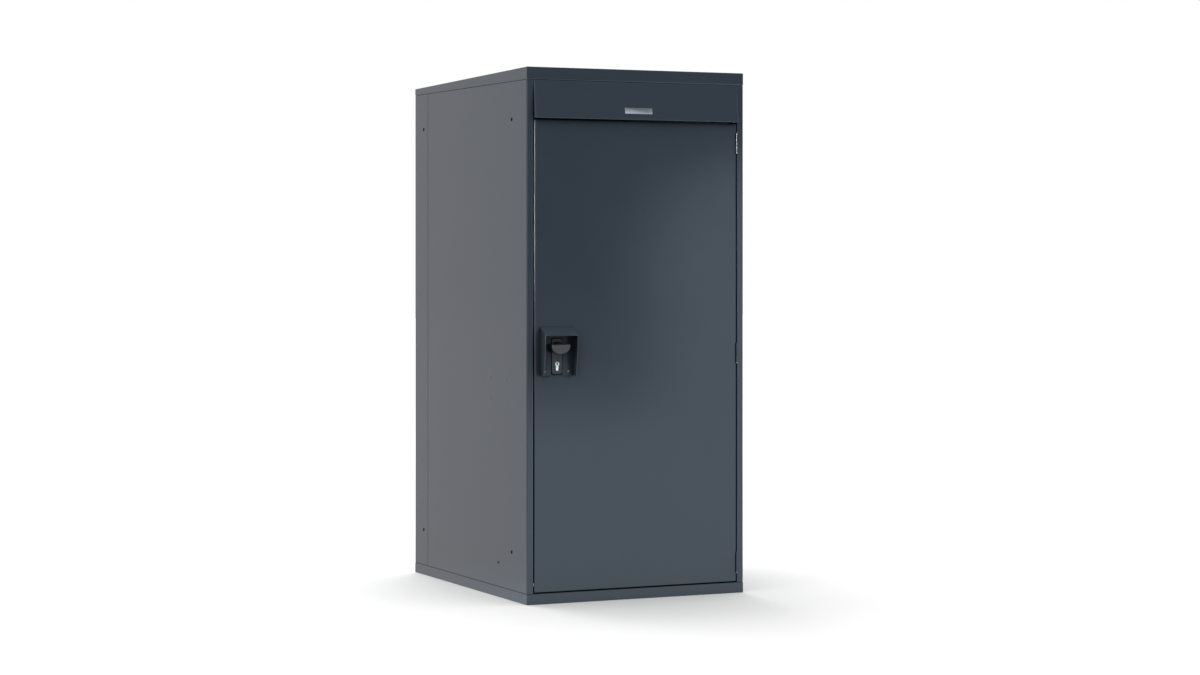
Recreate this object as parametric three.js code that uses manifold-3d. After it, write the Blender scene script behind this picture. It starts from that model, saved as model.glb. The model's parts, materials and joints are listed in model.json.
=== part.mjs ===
// A vertical bicycle locker: a folded sheet-steel cabinet on a shallow base pan, with a sloping roof
// lid, a raked fascia and one full-height door. The door hangs on three knuckled hinges at its right
// side and closes with a turn handle, whose pinion drives one rod up and one rod down.
// Millimetres. The origin is the centre of the cabinet's footprint on the ground, +X to the right
// when seen from the front, the front faces -Y, and +Z is up.

import * as THREE from "three";
import { mergeVertices } from "three/addons/utils/BufferGeometryUtils.js";
import Module from "manifold-3d";

const wasm = await Module();
wasm.setup();

// Driving sizes of the cabinet
const width = 885;
const depth = 1120;
const height = 1950;
const roofFall = 20;
const sheet = 1.5;
const foldRadius = 2.5;
const seatGap = 0.3;
const overrun = 20;

// Base pan and the rails under its floor
const baseHeight = 40;
const baseReturn = 15;
const railWidth = 60;
const railFlange = 15;
const railSheet = 2;
const railFromEnd = 160;

// Side panels and back panel
const postWidth = 26;
const stopWidth = 16;
const panelFlange = 25;
const seamFlange = 20;
const rearReturn = 139;
const linkHoleRadius = 5.25;
const linkHoleInset = 139;
const rearHoleInset = 94;

// Roof lid and its braces
const lidHeight = 46;
const lidReturn = 25;
const braceWidth = 50;
const braceFlange = 15;
const braceDepth = 18;
const braceFromEnd = 280;

// Fascia above the door and the header rail behind it
const fasciaHeight = 139.5;
const fasciaReach = 17.5;
const fasciaReturn = 14;
const headerRise = 35;
const headerFromKeep = 2.7;

// Door pan and the stiffeners inside it
const doorGap = 4;
const doorTopGap = 5;
const doorBottomGap = 4;
const doorDepth = 30;
const doorLip = 18;
const stiffenerWidth = 70;
const stiffenerFlange = 16;
const stiffenerDepth = 20;
const stiffenerFromEnd = 338;
const stiffenerFromRivet = 6;
const bufferGap = 0.5;
const bufferThickness = 1.7;
const bufferFromEnd = 260;
const glidePadHeight = 73;
const glidePadSize = 11;
const glidePadInset = 1.5;
const glidePadGap = 1;

// Hinges
const hingeLength = 75;
const knuckleCount = 5;
const knuckleRadius = 3.4;
const hingePinRadius = 1.7;
const hingePinGap = 0.15;
const hingePinHead = 1.2;
const hingeLeafSheet = 1.2;
const hingeLeafInset = 3;
const hingeStandOff = 0.4;
const hingeFromEnd = 72;

// Lock: its place in the door
const lockFromSide = 117;
const spindleHeight = 943.5;
const lockCentres = 72;
const rodFromDoorBack = 11;

// Lock hood, whose foot and top are set from the escutcheon that it covers
const hoodWidth = 132;
const hoodPlate = 3;
const hoodFold = 3;
const hoodBelow = 6.5;
const hoodAbove = 47;
const hoodReach = 50;
const hoodFootReach = 35;
const hoodFall = 28;
const hoodKneeRise = 85.5;
const hoodLipDepth = 7;
const hoodSlotGap = 2.5;
const hoodRivetSpread = 47;
const hoodRivetRise = 15.5;
const rivetShankRadius = 2.4;
const rivetHeadRadius = 4.4;
const rivetHeadHeight = 1.8;
const rivetTailRadius = 3.6;
const rivetDomeShare = 0.85;

// Escutcheon, cylinder and turn handle
const escutcheonWidth = 40;
const escutcheonThickness = 5.5;
const escutcheonMargin = 11;
const escutcheonCrown = 9.5;
const escutcheonCorner = 7;
const cylinderRound = 8.5;
const cylinderWeb = 10;
const cylinderHeight = 33;
const cylinderProud = 8;
const cylinderSetIn = 1.5;
const plugRadius = 6.4;
const plugProud = 0.6;
const keywayWidth = 2;
const keywayHeight = 8.4;
const keywayDepth = 9;
const handleHalfWidth = 34;
const handleDrop = 34;
const handleShoulder = 7;
const handleThickness = 13;
const handleSetBack = 6.3;
const handleBevel = 2.4;
const neckRadius = 10;
const spindleSize = 8;
const spindleGrip = 19;

// Rack and pinion
const toothModule = 1.75;
const pinionTeeth = 16;
const pressureAngle = THREE.MathUtils.degToRad(20);
const toothBacklash = 0.5;
const addendumShare = 0.85;
const dedendumShare = 1.25;
const gearWidth = 8;
const hubWall = 1.4;
const rackBarWidth = 8;
const rackMargin = 8;
const rodRadius = 5;
const rodSetBack = 5.5;
const rodClearance = 1.5;
const rodPlay = 0.8;
const quarterTurn = Math.PI / 2;

// Lock case, deadlock slide and cam
const caseMargin = 9.5;
const caseSideMargin = 2.8;
const coverSheet = 1.5;
const camThickness = 1.5;
const camRadius = 7;
const crankRadius = 4;
const crankPinRadius = 2;
const crankPlay = 1.2;
const slideThickness = 3;
const slideWidth = 20;
const slideNeckWidth = 8;
const slideTipWidth = 1.5;
const slideTipHeight = 5;
const slideRootGap = 0.7;
const slideFoot = 10;
const guidePinRadius = 2.5;

// Rod guides and keeps
const guideWidth = 28;
const guideHeight = 24;
const guideSheet = 2;
const guideFromEnd = 420;
const keepLength = 44;
const keepWidth = 20;
const keepThickness = 2;

// Bicycle hook, wheel channel and locking anchor inside
const hookFromLid = 114;
const hookBarRadius = 6;
const hookReach = 82;
const hookBend = 26;
const hookRise = 34;
const hookPlateWidth = 70;
const hookPlateHeight = 110;
const hookPlateThickness = 4;
const sleeveWall = 2.5;
const sleeveFromPlate = 12;
const sleeveShort = 3;
const channelWidth = 62;
const channelDepth = 24;
const channelSheet = 2;
const channelLow = 70;
const channelFromHook = 150;
const anchorFromFront = 268;
const anchorHeight = 772;
const anchorRivetAcross = 150;
const anchorRivetUp = 75;
const anchorPlateMargin = 18;
const anchorPlateThickness = 3;
const anchorRivetRadius = 3.2;
const anchorHeadRadius = 5.2;
const anchorHeadHeight = 1.2;
const loopSpan = 90;
const loopReach = 48;
const loopBend = 16;
const loopBarRadius = 6;
const ventFromFront = 266;
const ventHeight = 127;
const ventRadius = 4.5;
const ventHoodReach = 2.4;
const ventHoodWall = 1.2;

// Smoothness of folds and rounds
const foldSteps = 3;
const roundSides = 24;
const barSides = 12;
const barSteps = 24;
const mergeDistance = 1e-4;

// Places that follow from the sizes: cabinet and door
const frontY = -depth / 2;
const backY = depth / 2;
const rightX = width / 2;
const leftX = -rightX;
const lidLow = height - lidHeight;
const panelLow = baseHeight + seatGap;
const panelHigh = lidLow - seatGap;
const seamY = backY - rearReturn;
const openingHalf = rightX - postWidth;
const fasciaLow = lidLow - fasciaHeight;
const webLow = fasciaLow + seatGap;
const doorHalf = openingHalf - doorGap;
const doorLow = baseHeight + doorBottomGap;
const doorHigh = fasciaLow - doorTopGap;
const doorMiddle = (doorLow + doorHigh) / 2;
const doorBack = frontY + doorDepth;
const skinInside = frontY + sheet;
const stopFace = doorBack + bufferGap + bufferThickness + seatGap;
const hingeX = openingHalf - doorGap / 2;
const hingeY = frontY - hingeStandOff - knuckleRadius;
const hookHeight = lidLow - hookFromLid;

// Places that follow from the sizes: lock
const lockX = leftX + lockFromSide;
const cylinderZ = spindleHeight - lockCentres;
const cylinderFoot = cylinderZ + cylinderRound - cylinderHeight;
const cylinderNose = frontY - cylinderProud;
const escutcheonLow = cylinderFoot - escutcheonMargin;
const escutcheonHigh = spindleHeight + neckRadius + escutcheonCrown;
const hoodLow = escutcheonLow - hoodBelow;
const hoodHigh = escutcheonHigh + hoodAbove;
const hoodFront = frontY - seatGap - hoodReach;
const handleFront = hoodFront + handleSetBack;
const pitchRadius = (toothModule * pinionTeeth) / 2;
const rodTravel = pitchRadius * quarterTurn;
const rootReach = toothModule * dedendumShare;
const tipReach = toothModule * addendumShare;
const rodOffset = pitchRadius + rootReach + rackBarWidth / 2;
const rodHoleRadius = rodRadius + rodClearance;
const keepHoleRadius = rodRadius + rodPlay;
const rodY = doorBack - rodFromDoorBack;
const gearFront = rodY - gearWidth / 2;
const gearBack = rodY + gearWidth / 2;
const cylinderTail = gearFront + cylinderSetIn;
const socketHalf = spindleSize / 2 + seatGap;
const hubRadius = socketHalf * Math.SQRT2 + hubWall;
const caseHalf = pitchRadius + rootReach + rackBarWidth + caseSideMargin + sheet;
const caseLow = cylinderFoot - caseMargin;
const caseHigh = spindleHeight + rodTravel + rackMargin + caseMargin;
const caseFront = skinInside + seatGap;
const caseBack = rodY + rodRadius + seatGap;
const guidePinZ = (cylinderZ + spindleHeight) / 2;
const headerFront = rodY - keepWidth / 2 - headerFromKeep - sheet;
const fasciaDepth = headerFront - seatGap - frontY + fasciaReach;

// Outlines

const point = (x, y) => new THREE.Vector2(x, y);

// The points of an arc of the given radius that rounds one corner between two neighbours.
function cornerArc(before, corner, after, radius) {
  const back = before.clone().sub(corner).normalize();
  const ahead = after.clone().sub(corner).normalize();
  const half = Math.acos(THREE.MathUtils.clamp(back.dot(ahead), -1, 1)) / 2;
  const centre = back.clone().add(ahead).normalize();
  centre.multiplyScalar(radius / Math.sin(half)).add(corner);
  const start = back.multiplyScalar(radius / Math.tan(half)).add(corner).sub(centre);
  const end = ahead.multiplyScalar(radius / Math.tan(half)).add(corner).sub(centre);
  const sweep = Math.atan2(start.cross(end), start.dot(end));
  const arc = [];
  for (let step = 0; step <= foldSteps; step++) {
    const angle = start.angle() + (sweep * step) / foldSteps;
    arc.push(point(centre.x + radius * Math.cos(angle), centre.y + radius * Math.sin(angle)));
  }
  return arc;
}

// A closed outline whose corners are rounded by the radii given for them, in the same order.
function rounded(corners, radii) {
  const count = corners.length;
  return corners.flatMap((corner, i) => {
    if (!radii[i]) return [corner];
    return cornerArc(corners[(i + count - 1) % count], corner, corners[(i + 1) % count], radii[i]);
  });
}

// A rectangle between two corners, with one radius for its low corners and one for its high ones.
function rectangle(x0, y0, x1, y1, lowRadius = 0, highRadius = lowRadius) {
  const corners = [point(x0, y0), point(x1, y0), point(x1, y1), point(x0, y1)];
  return rounded(corners, [lowRadius, lowRadius, highRadius, highRadius]);
}

function circle(x, y, radius, sides = roundSides) {
  return Array.from({ length: sides }, (_, i) => {
    const angle = ((i + 0.5) / sides) * 2 * Math.PI;
    return point(x + radius * Math.cos(angle), y + radius * Math.sin(angle));
  });
}

// A line moved sideways, to the right of its walk, with its corners mitred.
function beside(line, distance) {
  const last = line.length - 1;
  const rightOf = (a, b) => {
    const along = b.clone().sub(a).normalize();
    return point(along.y, -along.x);
  };
  return line.map((corner, i) => {
    const first = rightOf(line[Math.max(i - 1, 0)], line[Math.max(i, 1)]);
    const second = rightOf(line[Math.min(i, last - 1)], line[Math.min(i + 1, last)]);
    const mitre = first.clone().add(second);
    return mitre.multiplyScalar(distance / (1 + first.dot(second))).add(corner);
  });
}

// The section of a folded sheet. The line is one face, and the sheet lies on the right of the walk.
function folded(line, thickness = sheet) {
  const inside = foldRadius - sheet;
  const outside = inside + thickness;
  const other = beside(line, thickness);
  const turns = line.map((corner, i) => {
    if (i === 0 || i === line.length - 1) return 0;
    const before = corner.clone().sub(line[i - 1]);
    return Math.sign(before.cross(line[i + 1].clone().sub(corner)));
  });
  const nearRadii = turns.map((turn) => (turn < 0 ? outside : turn > 0 ? inside : 0));
  const farRadii = turns.map((turn) => (turn < 0 ? inside : turn > 0 ? outside : 0));
  return rounded([...line, ...other.reverse()], [...nearRadii, ...farRadii.reverse()]);
}

const mirroredLine = (line) => line.map((p) => point(-p.x, p.y)).reverse();

// Solids

function solidOf(geometry) {
  const bare = new THREE.BufferGeometry();
  bare.setAttribute("position", geometry.getAttribute("position"));
  bare.setIndex(geometry.index);
  const merged = mergeVertices(bare, mergeDistance);
  return new wasm.Manifold(
    new wasm.Mesh({
      numProp: 3,
      vertProperties: merged.attributes.position.array,
      triVerts: new Uint32Array(merged.index.array),
    }),
  );
}

const join = (...solids) => solids.reduce((whole, solid) => whole.add(solid));
const cut = (whole, ...tools) => tools.reduce((rest, tool) => rest.subtract(tool), whole);
const common = (...solids) => solids.reduce((whole, solid) => whole.intersect(solid));

// A section drawn in (y, z) runs along x, one in (x, z) along y and one in (x, y) along z.
const runs = {
  x: new THREE.Matrix4().set(0, 0, 1, 0, 1, 0, 0, 0, 0, 1, 0, 0, 0, 0, 0, 1),
  y: new THREE.Matrix4().set(1, 0, 0, 0, 0, 0, -1, 0, 0, 1, 0, 0, 0, 0, 0, 1),
  z: new THREE.Matrix4(),
};

function prism(axis, outline, from, to) {
  const geometry = new THREE.ExtrudeGeometry(new THREE.Shape(outline), {
    depth: to - from,
    bevelEnabled: false,
  });
  geometry.translate(0, 0, axis === "y" ? -to : from);
  return solidOf(geometry.applyMatrix4(runs[axis]));
}

const block = (low, high) => prism("z", rectangle(low[0], low[1], high[0], high[1]), low[2], high[2]);

// A revolved profile of (radius, distance) points, standing on the point and running along the axis.
function turned(profile, axis, at, sides = roundSides) {
  const geometry = new THREE.LatheGeometry(profile, sides);
  geometry.rotateX(quarterTurn);
  if (axis === "y") geometry.rotateX(-quarterTurn);
  if (axis === "x") geometry.rotateY(quarterTurn);
  geometry.translate(...at);
  return solidOf(geometry);
}

// A round bar along a path of straight runs with rounded bends.
function barAlong(corners, bend, radius, trimStart = 0, trimEnd = 0) {
  const path = new THREE.CurvePath();
  const ends = corners.map((corner) => corner.clone());
  const last = ends.length - 1;
  ends[0].add(corners[1].clone().sub(corners[0]).setLength(trimStart));
  ends[last].add(corners[last - 1].clone().sub(corners[last]).setLength(trimEnd));
  let from = ends[0];
  for (let i = 1; i < last; i++) {
    const arriving = ends[i].clone().add(ends[i - 1].clone().sub(ends[i]).setLength(bend));
    const leaving = ends[i].clone().add(ends[i + 1].clone().sub(ends[i]).setLength(bend));
    path.add(new THREE.LineCurve3(from, arriving));
    path.add(new THREE.QuadraticBezierCurve3(arriving, ends[i], leaving));
    from = leaving;
  }
  path.add(new THREE.LineCurve3(from, ends[last]));
  const geometry = new THREE.ExtrudeGeometry(new THREE.Shape(circle(0, 0, radius, barSides)), {
    steps: barSteps,
    bevelEnabled: false,
    extrudePath: path,
  });
  return solidOf(geometry);
}

// Slopes a solid: each point moves along one axis in proportion to its place on another.
function sloped(solid, moved, by, perLength, from) {
  const geometry = geometryOf(solid);
  const places = geometry.getAttribute("position");
  for (let i = 0; i < places.count; i++) {
    const shift = (places.getComponent(i, by) - from) * perLength;
    places.setComponent(i, moved, places.getComponent(i, moved) + shift);
  }
  return solidOf(geometry);
}

function geometryOf(solid) {
  const mesh = solid.getMesh();
  const places = new Float32Array(mesh.numVert * 3);
  for (let i = 0; i < mesh.numVert; i++) {
    places.set(mesh.vertProperties.subarray(i * mesh.numProp, i * mesh.numProp + 3), i * 3);
  }
  const geometry = new THREE.BufferGeometry();
  geometry.setAttribute("position", new THREE.BufferAttribute(places, 3));
  geometry.setIndex(new THREE.BufferAttribute(new Uint32Array(mesh.triVerts), 1));
  return geometry;
}

// Materials

const finish = (color, roughness, metalness) =>
  new THREE.MeshStandardMaterial({ color, roughness, metalness, flatShading: true });

const paints = {
  cabinet: () => finish(0x3a4654, 0.42, 0.1),
  zinc: () => finish(0xa9abab, 0.38, 0.9),
  nickel: () => finish(0xc9c7c2, 0.25, 1),
  black: () => finish(0x2b2b2b, 0.5, 0),
  rubber: () => finish(0x1c1c1c, 0.8, 0),
  nylon: () => finish(0xd8d6cf, 0.55, 0),
};

const locker = new THREE.Group();

function place(name, solid, paint) {
  const drawn = geometryOf(solid).toNonIndexed();
  drawn.computeVertexNormals();
  const mesh = new THREE.Mesh(drawn, paints[paint]());
  mesh.name = name;
  locker.add(mesh);
}

// A shallow pan with folded walls and returns, centred on the origin, closed face at z = 0, open below.
function pan(across, along, deep, lip) {
  const shell = (inset) => {
    const radius = foldRadius - inset;
    const halfAcross = across / 2 - inset;
    const halfAlong = along / 2 - inset;
    const side = rectangle(-halfAcross, inset - deep, halfAcross, -inset, radius);
    const front = rectangle(-halfAlong, inset - deep, halfAlong, -inset, radius);
    return common(
      prism("y", side, -halfAlong, halfAlong),
      prism("x", front, -halfAcross, halfAcross),
    );
  };
  const inset = sheet + lip;
  const mouth = block(
    [inset - across / 2, inset - along / 2, -deep - overrun],
    [across / 2 - inset, along / 2 - inset, -deep / 2],
  );
  return cut(shell(0), shell(sheet), mouth);
}

function moved(solid, x, y, z) {
  return solid.translate([x, y, z]);
}

// A top-hat section: its two flanges lie under the mounting face, and its crown is the given depth below.
function topHat(across, flange, deep, thickness) {
  const web = across / 2 - flange;
  const crown = thickness - deep;
  return folded(
    [
      point(-across / 2, 0),
      point(-web, 0),
      point(-web, crown),
      point(web, crown),
      point(web, 0),
      point(across / 2, 0),
    ],
    thickness,
  );
}

// Base pan with three rails that stand on the ground under its floor
function buildBase() {
  const rodX = lockX + rodOffset;
  const floorHole = prism("z", circle(rodX, rodY, rodHoleRadius), 0, baseHeight + overrun);
  place(
    "base_pan",
    cut(moved(pan(width, depth, baseHeight, baseReturn), 0, 0, baseHeight), floorHole),
    "cabinet",
  );
  const railHalf = rightX - sheet - baseReturn - seatGap;
  const railTop = baseHeight - sheet - seatGap;
  const names = ["front", "middle", "rear"];
  names.forEach((name, i) => {
    const y = (i - 1) * (backY - railFromEnd);
    const section = topHat(railWidth, railFlange, railTop, railSheet);
    const line = section.map((p) => point(p.x + y, p.y + railTop));
    place(`base_rail_${name}`, prism("x", line, -railHalf, railHalf), "zinc");
  });
}

// The outline of the cabinet between base and lid, seen from the front, with its folded edges.
const wallFront = () => rectangle(leftX, panelLow, rightX, panelHigh, foldRadius);

const linkHoleHeights = [panelLow - seatGap + linkHoleInset, panelHigh + seatGap - linkHoleInset];

function sideHoles(fromY, x) {
  const reach = [x - overrun, x + overrun];
  return linkHoleHeights.map((z) => prism("x", circle(fromY, z, linkHoleRadius), ...reach));
}

// Side panels: folded front post and door stop, wide side sheet, seam flange at the rear
function buildSides() {
  const seam = seamY - seatGap / 2;
  const line = [
    point(leftX + postWidth + stopWidth, stopFace),
    point(leftX + postWidth, stopFace),
    point(leftX + postWidth, frontY),
    point(leftX, frontY),
    point(leftX, seam),
    point(leftX + seamFlange, seam),
  ];
  const flangeEnd = leftX + panelFlange;
  const flange = (z) =>
    block([leftX, frontY + foldRadius, z], [flangeEnd, seam - foldRadius, z + sheet]);
  const left = join(
    prism("z", folded(line), panelLow, panelHigh),
    flange(panelLow),
    flange(panelHigh - sheet),
  );
  const right = join(
    prism("z", folded(mirroredLine(line)), panelLow, panelHigh),
    moved(flange(panelLow), width - panelFlange, 0, 0),
    moved(flange(panelHigh - sheet), width - panelFlange, 0, 0),
  );
  const envelope = prism("y", wallFront(), frontY - overrun, backY + overrun);
  const frontHoleY = frontY + linkHoleInset;
  const smallHole = (y, z, radius) =>
    prism("x", circle(y, z, radius, barSides), leftX - overrun, leftX + overrun);
  const pierced = cut(
    common(left, envelope),
    ...sideHoles(frontHoleY, leftX),
    ...anchorPlaces().map(([y, z]) => smallHole(y, z, anchorRivetRadius + seatGap)),
    smallHole(frontY + ventFromFront, ventHeight, ventRadius),
  );
  place("left_side_panel", join(pierced, ventHood()), "cabinet");
  const rightPierced = cut(common(right, envelope), ...sideHoles(frontHoleY, rightX));
  place("right_side_panel", rightPierced, "cabinet");
}

// A small lanced hood over the drain vent, low on the left side
function ventHood() {
  const y = frontY + ventFromFront;
  const arch = (radius) =>
    circle(y, ventHeight, radius, barSides).filter((p) => p.y > ventHeight - mergeDistance);
  const outer = arch(ventRadius + ventHoodWall);
  const inner = arch(ventRadius);
  return cut(
    prism("x", outer, leftX - ventHoodReach, leftX + sheet / 2),
    prism("x", inner, leftX - ventHoodReach - overrun, leftX + overrun),
  );
}

// Back panel: one sheet that wraps round both rear corners
function buildBack() {
  const seam = seamY + seatGap / 2;
  const line = [
    point(leftX + seamFlange, seam),
    point(leftX, seam),
    point(leftX, backY),
    point(rightX, backY),
    point(rightX, seam),
    point(rightX - seamFlange, seam),
  ];
  const flange = (z) =>
    cut(
      block([leftX, seam + foldRadius, z], [rightX, backY, z + sheet]),
      block(
        [leftX + panelFlange, seam - overrun, z - overrun],
        [rightX - panelFlange, backY - panelFlange, z + overrun],
      ),
    );
  const wrapped = join(
    prism("z", folded(line), panelLow, panelHigh),
    flange(panelLow),
    flange(panelHigh - sheet),
  );
  const wallSide = rectangle(frontY, panelLow, backY, panelHigh, foldRadius);
  const envelope = common(
    prism("y", wallFront(), frontY - overrun, backY + overrun),
    prism("x", wallSide, leftX - overrun, rightX + overrun),
  );
  const holeY = backY - rearHoleInset;
  place(
    "back_panel",
    cut(common(wrapped, envelope), ...sideHoles(holeY, leftX), ...sideHoles(holeY, rightX)),
    "cabinet",
  );
}

// Roof lid: its top falls to the back, and its skirt's return lies level on the panels
function buildRoof() {
  const tall = lidHeight + overrun;
  const fall = -roofFall / depth;
  const shell = (inset) => {
    const radius = foldRadius - inset;
    const [left, right] = [leftX + inset, rightX - inset];
    const [front, back] = [frontY + inset, backY - inset];
    const square = common(
      prism("y", rectangle(left, lidLow - tall, right, height - inset, 0, radius), front, back),
      prism("x", rectangle(front, lidLow - tall, back, height - inset, 0, radius), left, right),
    );
    return common(
      sloped(square, 2, 1, fall, frontY),
      prism("y", rectangle(left, lidLow + inset, right, height + tall, radius, 0), front, back),
      prism("x", rectangle(front, lidLow + inset, back, height + tall, radius, 0), left, right),
    );
  };
  const inset = sheet + lidReturn;
  const mouth = block(
    [leftX + inset, frontY + inset, lidLow - overrun],
    [rightX - inset, backY - inset, lidLow + foldRadius],
  );
  place("roof_lid", cut(shell(0), shell(sheet), mouth), "cabinet");

  const braceHalf = rightX - sheet - foldRadius - seatGap;
  ["front", "rear"].forEach((name, i) => {
    const y = (2 * i - 1) * (backY - braceFromEnd);
    const top = height - sheet - seatGap;
    const line = topHat(braceWidth, braceFlange, braceDepth, sheet);
    const brace = prism("x", line.map((p) => point(p.x + y, p.y + top)), -braceHalf, braceHalf);
    place(`roof_brace_${name}`, sloped(brace, 2, 1, fall, frontY), "cabinet");
  });
}

// Fascia: a raked pan, open at the back, that overhangs the top of the door
function buildFascia() {
  const half = openingHalf - seatGap;
  const high = lidLow - seatGap;
  const shell = (inset) => {
    const radius = foldRadius - inset;
    const [front, back] = [frontY + inset, frontY + fasciaDepth + (inset ? overrun : 0)];
    const [low, top] = [fasciaLow + inset, high - inset];
    const plan = rectangle(-half + inset, front, half - inset, back, radius, 0);
    const side = [point(front, low), point(back, low), point(back, top), point(front, top)];
    return common(
      prism("z", plan, low, top),
      prism("x", rounded(side, [radius, 0, 0, radius]), -half + inset, half - inset),
    );
  };
  const trim = block(
    [-half + foldRadius, frontY + fasciaReturn, fasciaLow - overrun],
    [half - foldRadius, backY, fasciaLow + foldRadius],
  );
  const box = cut(shell(0), shell(sheet), trim);
  place("front_fascia", sloped(box, 1, 2, fasciaReach / fasciaHeight, lidLow), "cabinet");
}

// Header rail behind the fascia, with the door's upper stop and the hole for the upper rod
function buildHeader() {
  const half = openingHalf - seatGap - sheet - seatGap;
  const section = folded([
    point(stopFace, doorHigh - stopWidth),
    point(stopFace, webLow),
    point(headerFront, webLow),
    point(headerFront, webLow + headerRise),
  ]);
  const stopEnd = openingHalf - stopWidth - seatGap;
  const corner = (side) =>
    block(
      [side < 0 ? -half - overrun : stopEnd, stopFace - seatGap, doorHigh - stopWidth - overrun],
      [side < 0 ? -stopEnd : half + overrun, stopFace + overrun, webLow + overrun],
    );
  const rodX = lockX - rodOffset;
  const hole = prism("z", circle(rodX, rodY, rodHoleRadius), webLow - overrun, webLow + overrun);
  const rail = cut(prism("x", section, -half, half), corner(-1), corner(1), hole);
  place("header_rail", rail, "cabinet");
}

// Keeps: hardened plates that take the ends of the two rods
function buildKeeps() {
  const [alongX, alongY] = [keepLength / 2, keepWidth / 2];
  const keep = (x, z) => {
    const plate = rectangle(x - alongX, rodY - alongY, x + alongX, rodY + alongY, rodRadius / 2);
    return cut(
      prism("z", plate, z, z + keepThickness),
      prism("z", circle(x, rodY, keepHoleRadius), z - overrun, z + overrun),
    );
  };
  place("upper_rod_keep", keep(lockX - rodOffset, webLow + sheet + seatGap), "zinc");
  place("lower_rod_keep", keep(lockX + rodOffset, baseHeight + seatGap), "zinc");
}

// Hinges: knuckles round one pin, and flat leaves that lie in the gap beside the door
function buildHinges() {
  const pitch = hingeLength / knuckleCount;
  const bore = hingePinRadius + hingePinGap;
  const leafFront = hingeY + knuckleRadius + seatGap;
  const leafBack = doorBack - hingeLeafInset;
  const leaf = (x, low, wanted) => {
    const slab = block([x, leafFront, low], [x + hingeLeafSheet, leafBack, low + hingeLength]);
    const knuckles = [];
    for (let i = 0; i < knuckleCount; i++) {
      if (i % 2 !== wanted) continue;
      const from = low + i * pitch + (i ? seatGap / 2 : 0);
      const to = low + (i + 1) * pitch - (i < knuckleCount - 1 ? seatGap / 2 : 0);
      knuckles.push(prism("z", circle(hingeX, hingeY, knuckleRadius, barSides), from, to));
      knuckles.push(block([x, hingeY, from], [x + hingeLeafSheet, leafFront + seatGap, to]));
    }
    const through = circle(hingeX, hingeY, bore, barSides);
    const drill = prism("z", through, low - overrun, low + hingeLength + overrun);
    return cut(join(slab, ...knuckles), drill);
  };
  const reach = doorHigh - doorMiddle - hingeFromEnd;
  ["lower", "middle", "upper"].forEach((name, i) => {
    const low = doorMiddle + (i - 1) * reach - hingeLength / 2;
    const frameLeaf = leaf(openingHalf - seatGap - hingeLeafSheet, low, 0);
    place(`hinge_frame_leaf_${name}`, frameLeaf, "cabinet");
    place(`hinge_door_leaf_${name}`, leaf(doorHalf + seatGap, low, 1), "cabinet");
    const head = [
      point(0, -hingePinHead - seatGap),
      point(knuckleRadius - seatGap, -hingePinHead - seatGap),
      point(knuckleRadius - seatGap, -seatGap),
      point(hingePinRadius, -seatGap),
      point(hingePinRadius, hingeLength),
      point(0, hingeLength),
    ];
    place(`hinge_pin_${name}`, turned(head, "z", [hingeX, hingeY, low], barSides), "zinc");
  });
}

// Small stops of the door opening: two rubber buffers and the glide pad low in the left gap
function buildStops() {
  const x = leftX + postWidth + stopWidth / 2;
  const bufferFront = doorBack + bufferGap;
  const heights = { lower: doorLow + bufferFromEnd, upper: doorHigh - bufferFromEnd };
  for (const [name, z] of Object.entries(heights)) {
    const round = circle(x, z, stopWidth / 2 - seatGap);
    const disc = prism("y", round, bufferFront, bufferFront + bufferThickness);
    place(`door_buffer_${name}`, disc, "rubber");
  }
  const padX = -openingHalf + seatGap;
  const pad = rounded(
    [
      point(padX, frontY + glidePadInset),
      point(-doorHalf - glidePadGap, frontY + glidePadInset),
      point(-doorHalf - glidePadGap, frontY + glidePadInset + glidePadSize),
      point(padX, frontY + glidePadInset + glidePadSize),
    ],
    [0, glidePadGap / 2, glidePadGap / 2, 0],
  );
  const half = glidePadSize / 2;
  place("door_glide_pad", prism("z", pad, glidePadHeight - half, glidePadHeight + half), "nylon");
}

// The outline of a profile cylinder: a round barrel on a narrower web with a round foot.
function cylinderOutline(grow = 0) {
  const round = cylinderRound + grow;
  const web = cylinderWeb / 2 + grow;
  const footZ = cylinderFoot + cylinderWeb / 2;
  const meet = Math.asin(web / round);
  const outline = [];
  for (let i = 0; i <= roundSides; i++) {
    const angle = -quarterTurn + meet + ((2 * Math.PI - 2 * meet) * i) / roundSides;
    outline.push(point(lockX + round * Math.cos(angle), cylinderZ + round * Math.sin(angle)));
  }
  for (let i = 0; i <= barSides; i++) {
    const angle = Math.PI + (Math.PI * i) / barSides;
    outline.push(point(lockX + web * Math.cos(angle), footZ + web * Math.sin(angle)));
  }
  return outline;
}

// The two rivets that hold the hood, as (x, z), left and right
const hoodRivetPlaces = [-1, 1].map((side) => [
  lockX + side * hoodRivetSpread,
  hoodLow + hoodRivetRise,
]);

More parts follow.
